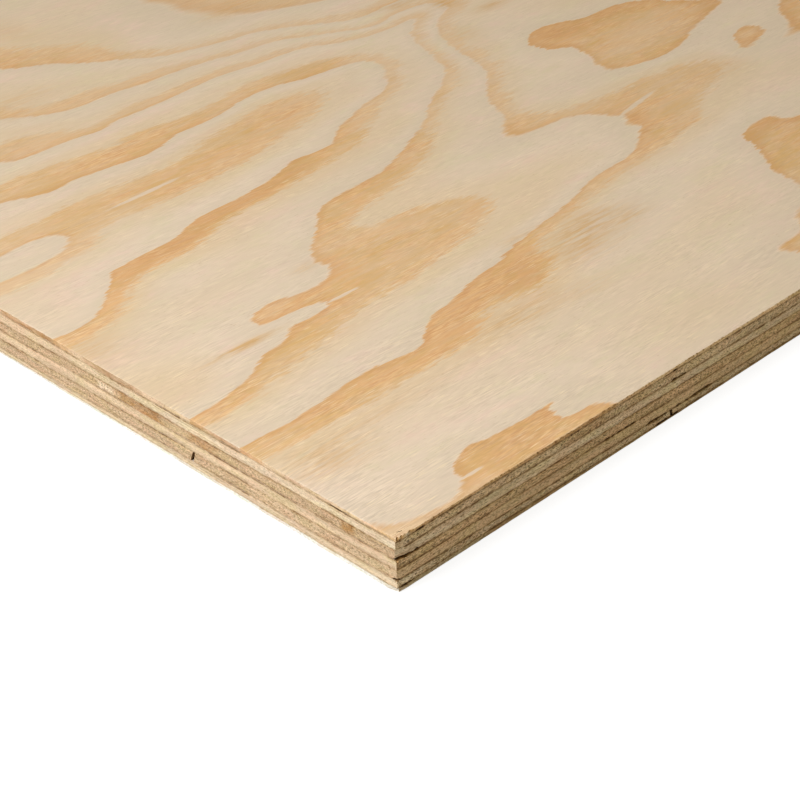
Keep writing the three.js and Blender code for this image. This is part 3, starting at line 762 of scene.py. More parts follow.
# A whole ply: the four cut edges as one band of rows from the lower glue line to the upper, closed
# by the two flat faces.
def plyObject(ply):
    index = ply["place"]

    # The ply's bottom and top at (u, v): half a film from the glue line, or the sheet's own face.
    def lowAt(u, v):
        return glueHeight(glueLines[index - 1], u, v) + bond["film"] / 2 if index else 0 * u

    def highAt(u, v):
        if index == len(glueLines):
            return 0 * u + sheetHeight
        return glueHeight(glueLines[index], u, v) - bond["film"] / 2

    u, v = outline["u"], outline["v"]
    low, high = lowAt(u, v), highAt(u, v)
    thickness = float(np.median(high - low))
    between = outlineDetail["middleRows"]
    rows = [row / thickness for row in outlineDetail["rows"] if row < between[0] * thickness]
    middle = between if thickness > outlineDetail["thinPly"] else []
    shares = np.array(rows + middle + [1 - row for row in rows[::-1]])[:, None]
    z = low + (high - low) * shares
    worn, stainAndShade, patch = np.zeros((3, *z.shape))
    for edge in range(4):
        on = outline["edge"] == edge
        along = np.broadcast_to((u if edge % 2 == 0 else v)[on], z[:, on].shape)
        worn[:, on], stainAndShade[:, on] = cutSurface(ply, edge, along, z[:, on], low[on], high[on])
        patch[:, on] = cutPatches(ply, edge, along, z[:, on])

    # The near corner is set back both ways, and the stops beside it are drawn in to make room.
    backU, backV = ply["corner"]
    fade = np.clip(1 - (u + v) / outlineDetail["cornerReach"], 0, 1)
    wallU = u + worn * outline["inU"] + backU * fade
    wallV = v + worn * outline["inV"] + backV * fade

    # Sanding has rounded off the top arris, more in some places than in others.
    drop = ply.get("arris", 0) * ramp(shares, 1 - sawing["sanded"] / thickness, 1)
    least, uneven = sawing["sanding"]
    z = z - drop * (least + mixedNoise(u + v, 0 * u, ply["seed"] + 40, uneven))
    blocks = [np.column_stack([wallU.ravel(), wallV.ravel(), z.ravel()])]
    ids = np.arange(z.size).reshape(z.shape)
    quads = [bandBetween(*pair) for pair in zip(ids[:-1], ids[1:])]
    triangles = []
    points = z.size
    for row, name, height in ((0, "low", lowAt), (-1, "high", highAt)):
        rings, grid = ply.get(name + "Rings", []), ply.get(name + "Grid", hiddenGrid)
        parts = flatFace(wallU[row], wallV[row], ids[row], points, rings, grid, height, row < 0)
        for table, part in zip((blocks, quads, triangles), parts):
            table.append(part)
        points += len(parts[0])
    blocks, quads, triangles = (np.concatenate(table) for table in (blocks, quads, triangles))
    blocks = np.clip(blocks, 0, (sheetLength, sheetWidth, sheetHeight))

    # What each point and face tells the material.
    wallQuads = z.size - stopCount
    endOn = (outline["edge"] % 2 == 0) == ply["cross"]
    wall, endGrain = np.zeros((2, len(quads) + len(triangles)))
    wall[:wallQuads] = 1
    endGrain[:wallQuads] = np.tile(endOn, len(shares) - 1)
    unseen = np.zeros(len(blocks) - z.size)
    pointValues = {
        "stainAndShade": np.append(stainAndShade.ravel(), unseen),
        "patch": np.append(patch.ravel(), unseen),
    }
    if "figure" in ply:
        placeU, placeV = blocks[:, 0], blocks[:, 1]
        rings = ply["figure"](placeU, placeV)
        (stepU, stepV), (raggedU, raggedV) = telling["steps"], telling["ragged"]
        slopeU = np.abs(ply["figure"](placeU + stepU, placeV) - rings) / stepU
        slopeV = np.abs(ply["figure"](placeU, placeV + stepV) - rings) / stepV
        ragged = raggedU * slopeU + raggedV * slopeV
        pointValues["ring"] = rings
        pointValues["ragged"] = np.minimum(ragged, telling["mostRagged"])
        pointValues["strength"] = ply["strength"](placeU, placeV)
        pointValues["tan"] = ply["tan"](placeU, placeV)
        least, more, reach = telling["rough"]
        pointValues["rough"] = least + more * np.exp(-(placeU + placeV) / reach)
    faceValues = {"wall": wall, "endGrain": endGrain}
    return meshObject(ply["name"], blocks, quads, triangles, pointValues, faceValues)


# The grid of a flat face: stops along it and across it, set in from the edge.
def faceStops(inset, lengthBands, widthBands):
    return [
        gradedStops(size - 2 * inset, bands) + inset
        for size, bands in ((sheetLength, lengthBands), (sheetWidth, widthBands))
    ]


# A coarse grid where two plies meet out of sight, a fine one on the face, a middling one behind.
hiddenGrid = faceStops(
    12, [(240, 24), (600, 60), (2438.4, 260)], [(240, 24), (600, 60), (1219.2, 200)]
)
faceGrid = faceStops(
    2.4,
    [(250, 2.8), (400, 4), (620, 12), (2438.4, 45)],
    [(240, 1.4), (290, 2), (410, 3.2), (560, 9), (1219.2, 22)],
)
backGrid = faceStops(2.4, [(2438.4, 24)], [(1219.2, 8)])


# A colour written as it looks, 0 to 255 a channel, as the linear colour that shaders use.
def paint(red, green, blue):
    shares = np.array([red, green, blue]) / 255
    linear = np.where(shares <= 0.04045, shares / 12.92, ((shares + 0.055) / 1.055) ** 2.4)
    return (*linear.tolist(), 1.0)


# What one socket of a shader tree gives. It is added, subtracted and multiplied like a number, and
# every such step makes a node.
class Flow:
    def __init__(self, net, socket):
        self.net, self.socket = net, socket

    def __add__(self, other):
        return self.net.maths("ADD", self, other)

    def __sub__(self, other):
        return self.net.maths("SUBTRACT", self, other)

    def __rsub__(self, other):
        return self.net.maths("SUBTRACT", other, self)

    def __mul__(self, other):
        return self.net.maths("MULTIPLY", self, other)

    # Holds the last step between 0 and 1.
    def clamped(self):
        self.socket.node.use_clamp = True
        return self

    # Stretches it from one range to another and holds it at the ends.
    def ranged(self, fromLow, fromHigh, toLow=0.0, toHigh=1.0, smooth=True):
        names = ("Value", "From Min", "From Max", "To Min", "To Max")
        inputs = dict(zip(names, (self, fromLow, fromHigh, toLow, toHigh)))
        kind = "SMOOTHSTEP" if smooth else "LINEAR"
        return self.net.result("Result", "MapRange", inputs, interpolation_type=kind)


# One shader tree, and the few kinds of step that everything here is made of.
class Net:
    def __init__(self, tree):
        self.tree = tree

    # Sets or links sockets by their names or numbers.
    def fill(self, sockets, values):
        for key, value in values.items():
            value = getattr(value, "socket", value)
            if isinstance(value, bpy.types.NodeSocket):
                self.tree.links.new(value, sockets[key])
            else:
                sockets[key].default_value = value

    # A node with its settings and its inputs, and one of a node's results.
    def node(self, kind, inputs=None, **settings):
        made = self.tree.nodes.new("ShaderNode" + kind)
        for key, value in settings.items():
            setattr(made, key, value)
        self.fill(made.inputs, inputs or {})
        return made

    def result(self, key, kind, inputs=None, **settings):
        return Flow(self, self.node(kind, inputs, **settings).outputs[key])

    # One step of arithmetic, under its own name in the tree.
    def maths(self, operation, *values):
        return self.result(0, "Math", dict(enumerate(values)), operation=operation)

    # Every number of a vector or a colour times one factor.
    def scaled(self, vector, factor):
        return self.result(0, "VectorMath", {0: vector, "Scale": factor}, operation="SCALE")

    # A colour that goes from first to second as share goes from 0 to 1, and the same for numbers.
    def mix(self, share, first, second, blend="MIX"):
        inputs = {0: share, 6: first, 7: second}
        return self.result(2, "Mix", inputs, data_type="RGBA", blend_type=blend)

    def between(self, share, first, second):
        return self.result(0, "Mix", {0: share, 2: first, 3: second})

    # Noise from 0 to 1 over a vector in millimetres, whose cells are sizes wide. Each shift gives
    # another noise.
    def noise(self, vector, sizes, detail, roughness, shift=0.0):
        shifts = [shift, 1.7 * shift, 0.6 * shift]
        inputs = {0: vector, 1: [1 / size for size in sizes], 2: shifts}
        place = self.result(0, "VectorMath", inputs, operation="MULTIPLY_ADD")
        inputs = {"Vector": place, "Scale": 1.0, "Detail": detail, "Roughness": roughness}
        return self.result("Fac", "TexNoise", inputs)


# The net of a material or a world, with nothing in it yet.
def emptyNet(owner):
    owner.use_nodes = True
    owner.node_tree.nodes.clear()
    return Net(owner.node_tree)


# An empty node group with its net, what it is given and what is wanted of it. An input is a vector
# where its default is None, and otherwise a number.
def newGroup(name, inputs, outputs):
    tree = bpy.data.node_groups.new(name, "ShaderNodeTree")
    for label, default in inputs.items():
        kind = "NodeSocketVector" if default is None else "NodeSocketFloat"
        socket = tree.interface.new_socket(label, in_out="INPUT", socket_type=kind)
        if default is not None:
            socket.default_value = default
    for label in outputs:
        tree.interface.new_socket(label, in_out="OUTPUT", socket_type="NodeSocketFloat")
    net = Net(tree)
    source, target = tree.nodes.new("NodeGroupInput"), tree.nodes.new("NodeGroupOutput")
    return net, {label: Flow(net, source.outputs[label]) for label in inputs}, target.inputs


# Wood fibres seen along their length: long streaks, fine ones, bright torn fibres in crowds, short
# dark flecks where resin ducts lie, and a broad and a patchy drift of tone. Torn fibres and flecks
# are where a noise passes a level that falls in a crowd. The vector is in millimetres with the
# grain along X.
def fibreGroup():
    outputs = ["Streaks", "Fine", "Bright", "Flecks", "Tone", "Hue"]
    net, given, wanted = newGroup("wood fibre", {"Vector": None}, outputs)
    noises = {
        "streaks": ((15, 1.4, 1.4), 3, 0.6),
        "fine": ((4.6, 0.4, 0.4), 2, 0.55, 5),
        "rough": ((30, 8, 8), 2, 0.5, 33),
        "torn": ((6.5, 0.3, 0.3), 0, 0.5, 17),
        "tornCrowd": ((26, 7, 7), 2, 0.5, 19),
        "flecks": ((2.4, 0.36, 0.36), 1, 0.5, 9),
        "fleckCrowd": ((30, 14, 14), 1, 0.5, 21),
        "tone": ((150, 42, 42), 2, 0.5, 13),
        "hue": ((38, 17, 17), 4, 0.85, 27),
    }
    made = {key: net.noise(given["Vector"], *noise) for key, noise in noises.items()}
    rough = made["rough"].ranged(0.35, 0.65, 0.35, 1.5)
    torn = made["torn"] - made["tornCrowd"].ranged(0.35, 0.65, 0.76, 0.6)
    flecks = made["flecks"] - made["fleckCrowd"].ranged(0.3, 0.7, 0.74, 0.66)
    results = {
        "Streaks": made["streaks"],
        "Fine": (made["fine"] - 0.5) * rough + 0.5,
        "Bright": torn.ranged(0.0, 0.1),
        "Flecks": flecks.ranged(0.0, 0.07),
        "Tone": made["tone"],
        "Hue": made["hue"],
    }
    net.fill(wanted, results)
    return net.tree


# The late wood of a peeled veneer. Ring counts growth rings, and noise along the fibres, times
# Ragged, frays where it changes. The fraction of the ring gives the colour, which grows in streaks
# towards the sharp end and drops back there over a width of its own.
def ringGroup():
    inputs = {"Vector": None, "Ring": 0.0, "Ragged": 0.02, "Strength": 1.0}
    outputs = ["Late Wood", "Line", "Early Wood", "Fringe"]
    net, given, wanted = newGroup("growth rings", inputs, outputs)
    vector, ragged, strong = given["Vector"], given["Ragged"], given["Strength"]
    coarse = net.noise(vector, (11, 1.4, 1.4), 2, 0.6, 2) - 0.5
    fine = net.noise(vector, (4, 0.45, 0.45), 2, 0.55, 4) - 0.5
    slow = net.noise(vector, (45, 9, 9), 2, 0.5, 6) - 0.5
    patchy = net.noise(vector, (24, 5, 5), 2, 0.55, 8).ranged(0.3, 0.7, 0.82, 1.08)
    share = net.maths("FRACT", (coarse * 2.0 + fine) * ragged + given["Ring"])
    weak = (1.0 - strong).clamped()
    uneven = coarse * 0.5 + fine * 0.7 + slow * 0.25
    streaky = share + uneven * ragged.ranged(0.0, 0.12, 0.08, 0.8, False) - weak * 0.14
    strength = strong * 0.7 + 0.3
    half = ragged * 1.2 + 0.006
    body = streaky.ranged(0.5 - half, half + 0.5) * share.ranged(0.12, 0.4)
    body = body * streaky.ranged(0.42, 0.9, 0.8, 1.05) * patchy
    ended = share.ranged(0.997 - ragged * 0.5 - weak * 0.07, 1.0, 1.0, 0.0)
    line = (share.ranged(0.86, 0.99) * strength).clamped()
    heart = streaky.ranged(0.56, 0.7) * strong.ranged(1.0, 1.3)
    fringe = share.ranged(0.16, 0.42) * share.ranged(0.5, 0.8, 1.0, 0.0)
    results = {
        "Late Wood": (body * ended * strength).clamped(),
        "Line": net.maths("MAXIMUM", line, heart) * ended,
        "Early Wood": share.ranged(0.0, 0.2, 1.0, 0.0),
        "Fringe": (fringe * strong).clamped(),
    }
    net.fill(wanted, results)
    return net.tree


# A slit of early wood showing through the late wood. Place is its middle, Turn its angle and Reach
# its half length and half width, all in the vector's millimetres. It fades out where r, the
# distance from the middle over the reach, passes 1.
def slitGroup():
    inputs = dict.fromkeys(("Vector", "Place", "Turn", "Reach"))
    net, given, wanted = newGroup("slit", inputs, ["Mask"])
    inputs = {0: given["Vector"], 1: (1, 1, 0)}
    level = net.result(0, "VectorMath", inputs, operation="MULTIPLY")
    names = {"Location": "Place", "Rotation": "Turn", "Scale": "Reach"}
    inputs = {key: given[name] for key, name in names.items()}
    local = net.result(0, "Mapping", {"Vector": level, **inputs}, vector_type="TEXTURE")
    distance = net.result("Value", "VectorMath", {0: local}, operation="LENGTH")
    frayed = net.noise(given["Vector"], (5, 0.5, 0.5), 2, 0.6, 31) * 1.1 + distance
    net.fill(wanted, {"Mask": frayed.ranged(1.15, 1.75, 1.0, 0.0)})
    return net.tree


# A sawn edge. Along the grain it shows fine straight fibres and the thin dark lines of its rings.
# Across the grain it shows mottled fibre ends, bands, dots and the slanting checks that peeling
# leaves. Each is where a noise passes a level. Grit is the roughness that the saw leaves on either,
# and Tone and Hue drift slowly along the ply. The vector is in millimetres with the grain along X
# and the ply's thickness along Z.
def sawnGroup():
    outputs = ["Dark", "Light", "Grit", "Height", "Tone", "Hue"]
    net, given, wanted = newGroup("sawn edge", {"Vector": None, "End Grain": 0.0}, outputs)
    vector, end = given["Vector"], given["End Grain"]
    noises = {
        "straight": ((9, 9, 0.3), 3, 0.65, 3),
        "fuzz": ((1.6, 1.6, 0.28), 2, 0.6, 6),
        "rings": ((28, 28, 0.55), 1, 0.4, 37),
        "mottle": ((6, 0.8, 0.55), 3, 0.65, 8),
        "bands": ((40, 14, 1.1), 1, 0.5, 11),
        "dots": ((4, 0.45, 0.4), 1, 0.5, 17),
        "light": ((1.6, 1.2, 0.3), 2, 0.6, 23),
        "endGrit": ((0.9, 0.9, 0.3), 2, 0.6, 41),
        "longGrit": ((1.1, 1.1, 0.26), 2, 0.6, 43),
        "spots": ((0.4, 0.4, 0.24), 1, 0.6, 45),
        "tone": ((24, 24, 1.6), 2, 0.55, 47),
        "hue": ((9, 9, 2.6), 1, 0.5, 49),
    }
    made = {key: net.noise(vector, *noise) for key, noise in noises.items()}
    inputs = {"Vector": vector, "Angle": 0.95}
    turned = net.result(0, "VectorRotate", inputs, rotation_type="X_AXIS")
    checks = net.noise(turned, (8, 1.5, 0.2), 2, 0.55, 14)
    longDark = made["straight"].ranged(0.5, 0.8) + made["fuzz"].ranged(0.58, 0.85)
    longDark = longDark + made["rings"].ranged(0.6, 0.68) * 1.3
    endDark = made["mottle"].ranged(0.42, 0.75) + checks.ranged(0.6, 0.72) * 0.6
    endDark = endDark + made["dots"].ranged(0.62, 0.74) * 0.5
    endDark = endDark + made["bands"].ranged(0.5, 0.72) * 0.7
    results = {
        "Dark": net.between(end, longDark, endDark),
        "Light": made["light"].ranged(0.58, 0.76),
        "Grit": net.between(end, made["longGrit"], made["endGrit"]) + made["spots"] * 0.5,
        "Height": made["fuzz"] + made["mottle"] * end,
        "Tone": made["tone"],
        "Hue": made["hue"],
    }
    net.fill(wanted, results)
    return net.tree


fibres = fibreGroup()
growthRings = ringGroup()
slit = slitGroup()
sawnEdge = sawnGroup()
print("node groups made")


# One veneer material. Fibres and growth rings colour the flat faces, and the cut's own colours,
# its patches, a few of them painted light, the stain of the glue lines and the painted shade in
# openings, notches, chips and under splinters the sawn edges. Each effect is mixed over those
# before it.
def veneerMaterial(name, look):
    material = bpy.data.materials.new(name)
    net = emptyNet(material)
    turn = math.pi / 2 if look["cross"] else 0.0
    inputs = {
        "Vector": net.result("Object", "TexCoord"),
        "Scale": (1 / metres,) * 3,
        "Rotation": (0, 0, turn),
        "Location": look["shift"],
    }
    vector = net.result(0, "Mapping", inputs)

    # What the mesh says under a name, a group's results, and a colour of the look.
    def told(name):
        return net.result("Fac", "Attribute", attribute_name=name)

    def group(tree, inputs):
        made = net.node("Group", inputs, node_tree=tree)
        return {socket.name: Flow(net, socket) for socket in made.outputs}

    def hue(name):
        return paint(*look[name])

    wood = group(fibres, {"Vector": vector})
    base = net.mix(wood["Tone"].ranged(0.3, 0.7), hue("pale"), hue("paleOther"))
    base = net.mix(wood["Hue"].ranged(0.5, 0.7, 0.0, 0.8), base, hue("pinkish"))
    base = net.mix(wood["Hue"].ranged(0.5, 0.3, 0.0, 0.8), base, hue("greenish"))
    bright, rough = wood["Bright"], 1.0
    if look["figured"]:
        rough = told("rough")
        inputs = {name.title(): told(name) for name in ("ring", "ragged", "strength")}
        late = group(growthRings, {"Vector": vector, **inputs})
        amount = late["Late Wood"] * wood["Streaks"].ranged(0.3, 0.7, 0.84, 1.1)
        amount, line = amount.clamped(), late["Line"]
        for (placeU, placeV), degrees, reach in look["slits"]:
            middle = (placeU + lowest[0], placeV + lowest[1], 0)
            turned = (0, 0, math.radians(degrees))
            inputs = {"Vector": vector, "Place": middle, "Turn": turned, "Reach": (*reach, 1)}
            kept = 1.0 - group(slit, inputs)["Mask"] * look["slitShare"]
            amount, line = amount * kept, line * kept
        base = net.mix(late["Early Wood"] * look["earlyShare"], base, hue("early"))
        base = net.mix(late["Fringe"] * look["fringeShare"], base, hue("fringe"))
        tan = (told("tan") * wood["Streaks"].ranged(0.35, 0.65, 0.3, 1.5)).clamped()
        base = net.mix(tan, base, hue("tan"))
        warm = net.mix(wood["Fine"].ranged(0.3, 0.7), hue("late"), hue("lateOther"))
        warm = net.mix(wood["Hue"].ranged(0.42, 0.62), warm, hue("golden"))
        base = net.mix(amount, base, warm)
        base = net.mix(line * look["lineShare"], base, hue("line"))
        bright = (bright * (late["Fringe"] * 0.6 + 0.8) * rough).clamped()
    streaks, fine = look["streaks"], look["fine"]
    shade = wood["Streaks"].ranged(0.25, 0.75, 1 - streaks, 1 + streaks, False)
    shade = shade * (wood["Fine"].ranged(0.25, 0.75, -fine, fine, False) * rough + 1.0)
    flat = net.scaled(base, shade)
    flat = net.mix(wood["Flecks"] * look["flecks"], flat, hue("fleck"))
    lifted = net.mix(1.0, flat, look["bright"], "MULTIPLY")
    flat = net.mix(bright, flat, net.mix(look["tornShare"], lifted, hue("torn")))

    wall, end, stainAndShade, patch = (told(name) for name in ("wall", "endGrain", "stainAndShade", "patch"))
    cut = group(sawnEdge, {"Vector": vector, "End Grain": end})
    side = net.mix(end, hue("longCut"), hue("endCut"))
    if look["figured"]:
        side = net.mix(late["Late Wood"] * look["lateCutShare"], side, hue("lateCut"))
    side = net.mix(patch.ranged(0.0, 1.0, smooth=False), side, hue("brownPatch"))
    side = net.mix(patch.ranged(0.0, -1.0, smooth=False), side, hue("palePatch"))
    dark = (cut["Dark"] * net.between(end, look["longDark"], look["endDark"])).clamped()
    side = net.mix(dark, side, net.mix(1.0, side, hue("cutShadow"), "MULTIPLY"))
    side = net.mix(cut["Light"] * look["lightShare"], side, hue("palePatch"))
    side = net.mix(cut["Hue"].ranged(0.5, 0.66), side, look["pinkTint"], "MULTIPLY")
    side = net.mix(cut["Hue"].ranged(0.5, 0.34), side, look["greenTint"], "MULTIPLY")

    # Pits are stronger than the rough spots that stand out.
    spots, (sunk, raised) = cut["Grit"] - 0.75, look["gritShares"]
    spots = net.maths("MINIMUM", spots * sunk, spots * raised) + 0.03
    grit = spots * net.between(end, look["longGrit"], look["endGrit"]) + 1.0
    drift = cut["Tone"].ranged(0.3, 0.7, 1 - look["cutTone"], 1 + look["cutTone"], False)
    side = net.scaled(side, grit * drift)
    side = net.mix(grit.ranged(1.0, 0.65), side, look["pitTint"], "MULTIPLY")
    # The stain of the glue lines and the painted shade of openings, notches, chips and splinters
    # darken the cut, the deepest painted shade to near black.
    side = net.mix(stainAndShade.ranged(0.0, 0.7, smooth=False), side, look["glueAndShadeTint"], "MULTIPLY")
    side = net.mix(stainAndShade.ranged(0.0, 1.0, 0.0, 0.84, False), side, hue("glueAndShade"))
    side = net.mix(stainAndShade.ranged(1.25, 1.7, 0.0, 0.97, False), side, hue("hollow"))

    relief = net.between(wall, wood["Fine"] * look["flatRelief"], cut["Height"])
    inputs = {"Strength": 0.5, "Distance": look["relief"], "Height": relief}
    bump = net.result(0, "Bump", inputs)
    inputs = {
        "Base Color": net.mix(wall, flat, side),
        "Roughness": look["roughness"],
        "IOR": look["bending"],
        "Specular IOR Level": look["gloss"],
        "Normal": bump,
    }
    net.node("OutputMaterial", {"Surface": net.result(0, "BsdfPrincipled", inputs)})
    return material


# Colours that all plies share, and how much the marks of each kind count. Each veneer's look says
# what differs from them.
sawnLook = {
    "longCut": (230, 202, 165),
    "endCut": (223, 190, 145),
    "lateCut": (206, 160, 108),
    "brownPatch": (190, 143, 92),
    "palePatch": (240, 220, 188),
    "cutShadow": (198, 178, 152),
    "glueAndShade": (108, 70, 32),
    # the painted shade deep in openings, notches and under splinters
    "hollow": (32, 13, 4),
    "glueAndShadeTint": (0.96, 0.86, 0.66, 1.0),  # what a glue line's stain and the painted shade in hollows do to each channel
    "pitTint": (1.0, 0.9, 0.74, 1.0),  # and a pit in the cut
    "pinkTint": (1.025, 0.975, 0.985, 1.0),  # what the cut's hue drifts to in each channel
    "greenTint": (0.985, 1.005, 0.93, 1.0),
    "cutTone": 0.13,  # how far its lightness drifts
    "longDark": 0.3,
    "endDark": 0.5,
    "longGrit": 1.0,
    "endGrit": 1.8,
    "gritShares": (1.4, 0.6),  # how strong pits are, and spots that stand out
    "lateCutShare": 0.8,
    "lightShare": 0.35,
    "flecks": 0.35,
    "fleck": (176, 146, 108),
    "streaks": 0.036,
    "fine": 0.09,
    "bright": (1.11, 1.105, 1.04, 1.0),  # how much lighter a torn fibre is in each channel
    "torn": (242, 218, 184),  # and the colour it tends to
    "tornShare": 0.45,
    "roughness": 0.72,
    "relief": 0.00008,  # height of the fibres on a cut, in metres
    "flatRelief": 0.25,  # and on a flat face, beside that
    "bending": 1.45,  # how much the surface bends light
    "gloss": 0.3,
    "cross": False,  # whether the grain runs along Y
    "figured": False,
    "slits": [],  # each with its middle, its angle in degrees, and its half length and half width
    "slitShare": 0.9,  # how much late wood a slit leaves out
    "shift": (0, 0, 0),  # which part of every noise it uses
    "pale": (229, 207, 182),
    "paleOther": (224, 202, 175),
    "pinkish": (232, 203, 182),
    "greenish": (223, 206, 174),
    "early": (218, 199, 174),
    "earlyShare": 0.5,
    "fringe": (222, 190, 142),
    "fringeShare": 0.42,
    "tan": (212, 172, 122),
    "late": (223, 171, 121),
    "lateOther": (230, 188, 136),
    "golden": (217, 176, 119),
    "line": (206, 148, 92),
    "lineShare": 0.4,
}

looks = {
    "face_veneer": {
        "figured": True,
        "longCut": (255, 220, 170),
        "endCut": (238, 208, 170),
        "lateCut": (222, 174, 118),
        "longDark": 0.2,
        "endDark": 0.25,
        "longGrit": 2.6,
        "endGrit": 1.0,
        "roughness": 0.62,
        "slits": [
            ((84, 208.5), 2.6, (17, 1.1)),
            ((262, 129.2), 11, (15, 1.2)),
            ((81, 104.6), 0, (8, 0.8)),
            ((36, 6.5), 0, (5, 0.7)),
        ],
    },
    "crossband_veneer": {"cross": True, "shift": (130, 40, 70), "longGrit": 1.2, "endGrit": 3.4},
    "core_veneer": {
        "shift": (310, 90, 20),
        "longCut": (231, 199, 156),
        "endCut": (214, 184, 146),
        "longGrit": 2.4,
        "endGrit": 2.2,
    },
    "back_veneer": {
        "figured": True,
        "shift": (70, 210, 5),
        "longCut": (214, 184, 142),
        "endCut": (255, 251, 240),
        "lateCut": (243, 226, 202),
        "endDark": 0.1,
        "longGrit": 2.4,
        "endGrit": 1.0,
        "pale": (222, 198, 165),
        "paleOther": (214, 189, 155),
        "late": (206, 158, 104),
        "roughness": 0.7,
    },
}
materials = {
    slot: veneerMaterial(slot.replace("_", " "), {**sawnLook, **look})
    for slot, look in looks.items()
}
print("materials made")


# Makes one ply and ties it to its place in the frame. A ply's place is how many glue lines lie
# below it, and corner is how far the near corner is set back from the short and the long edge.
# Patches have their edge, start, end and tone, from dark at 1 to pale at -1, and how softly they
# end. A few pale ones are painted light. Chips have their edge, start, end, height and depth.
def layPly(ply):
    piece = plyObject(ply)
    piece.data.materials.append(materials[ply["slot"]])
    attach(piece, "root")
    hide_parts(ply["node"])
    print(ply["name"], "laid:", len(piece.data.polygons), "faces")


facePly = {
    "name": "facePly",
    "node": "face_ply",
    "slot": "face_veneer",
    "place": 6,
    "cross": False,
    "seed": 11,
    "fuzz": 0.07,  # how far fibres stand out of the cut
    "corner": (0.0, 0.1),
    "arris": 0.16,  # how far sanding has rounded the edge off
    "highGrid": faceGrid,
    "highRings": [(0.1, 0.05), (0.3, 0.015), (0.8, 0.0), (1.5, 0.0)],
    "figure": faceFigure,
    "strength": faceStrength,
    "tan": faceTan,
    "fray": {"long": 0.2, "short": 0.0},  # how far splinters along each top arris have torn away
    "chips": [
        ("long", -0.3, 0.9, 0.5, 0.6),
        ("long", 1.5, 2.5, 0.42, 0.45),
        ("long", 3.1, 3.9, 0.36, 0.35),
        ("long", 5.0, 6.1, 0.4, 0.4),
    ],
    "patches": [
        ("short", 150, 178, 0.8, 3),
        ("short", 108, 135, 0.6, 3),
        ("short", 65, 85, 0.5, 3),
        ("long", 62, 95, 0.55, 3),
        ("long", 95, 112, 0.3, 3),
        # This pale patch is a painted highlight on the long edge just past the near corner.
        ("long", 3.4, 5.4, -0.9, 0.7),
        ("long", 12, 17, 0.3, 1.5),
    ],
}
layPly(facePly)

upperCrossband = {
    "name": "upperCrossband",
    "node": "upper_crossband",
    "slot": "crossband_veneer",
    "place": 5,
    "cross": True,
    "seed": 23,
    "fuzz": 0.05,
    "corner": (0.0, 0.5),
    "patches": [
        ("short", -1, 5, -0.5, 3),
        ("short", -30, 120, -0.65, 30),
        ("long", -10, 2450, -0.4, 3),
        ("long", 69, 88, 0.45, 3),
        ("long", 98, 108, 0.3, 3),
        # This pale patch is a painted highlight on the long edge just past the near corner.
        ("long", 3.2, 4.8, -0.5, 0.8),
    ],
}
layPly(upperCrossband)

upperCore = {
    "name": "upperCore",
    "node": "upper_core",
    "slot": "core_veneer",
    "place": 4,
    "cross": False,
    "seed": 37,
    "fuzz": 0.06,
    "corner": (0.0, 0.8),
    "patches": [
        ("long", -10, 2450, -0.6, 3),
        ("short", 99, 119, 0.8, 3),
        ("short", 74, 86, 0.6, 3),
        ("short", 16.5, 21.5, 1.0, 1.2),
        ("short", 122, 129, -0.9, 1.5),
    ],
}
layPly(upperCore)

centreCrossband = {
    "name": "centreCrossband",
    "node": "centre_crossband",
    "slot": "crossband_veneer",
    "place": 3,
    "cross": True,
    "seed": 41,
    "fuzz": 0.05,
    "corner": (0.05, 0.22),
    "patches": [("long", 0, 0.8, 0.9, 0.6)],
}
layPly(centreCrossband)

# The open joint in the lower core: its place and width along the edge, how deep it is, how far it
# leans, and how much narrower it gets towards the top.
lowerCore = {
    "name": "lowerCore",
    "node": "lower_core",
    "slot": "core_veneer",
    "place": 2,
    "cross": False,
    "seed": 53,
    "fuzz": 0.06,
    "corner": (0.05, 0.22),
    "patches": [("short", -10, 1230, -0.15, 3)],
    "notch": {
        "edge": "short",
        "at": 84.7,
        "width": 1.15,
        "depth": 8.0,
        "lean": 1.2,
        "taper": 0.45,
    },
}
layPly(lowerCore)

# The split in the lower crossband is told in the same way.
lowerCrossband = {
    "name": "lowerCrossband",
    "node": "lower_crossband",
    "slot": "crossband_veneer",
    "place": 1,
    "cross": True,
    "seed": 67,
    "fuzz": 0.05,
    "corner": (0.17, 0.15),
    "notch": {
        "edge": "long",
        "at": 119.2,
        "width": 0.95,
        "depth": 5.0,
        "lean": 0.5,
        "taper": 0.0,
    },
    # The pale patch along the whole long edge is painted light: it lifts the shade this ply gets
    # near the floor.
    "patches": [("long", -10, 2450, -0.8, 3), ("short", -10, 1230, -0.5, 3)],
}
layPly(lowerCrossband)

backPly = {
    "name": "backPly",
    "node": "back_ply",
    "slot": "back_veneer",
    "place": 0,
    "cross": False,
    "seed": 79,
    "fuzz": 0.06,
    "corner": (0.8, 0.2),
    "lowGrid": backGrid,
    "figure": lambda u, v: peeledFigure(u + 400, v + 250, 8),
    "strength": lambda u, v: 0.75 + 0.2 * cellNoise(u / 200, v / 70, 5),
    "tan": lambda u, v: 0.15 + 0.15 * cellNoise(u / 60, v / 17, 6),
}
layPly(backPly)
print("plies laid")


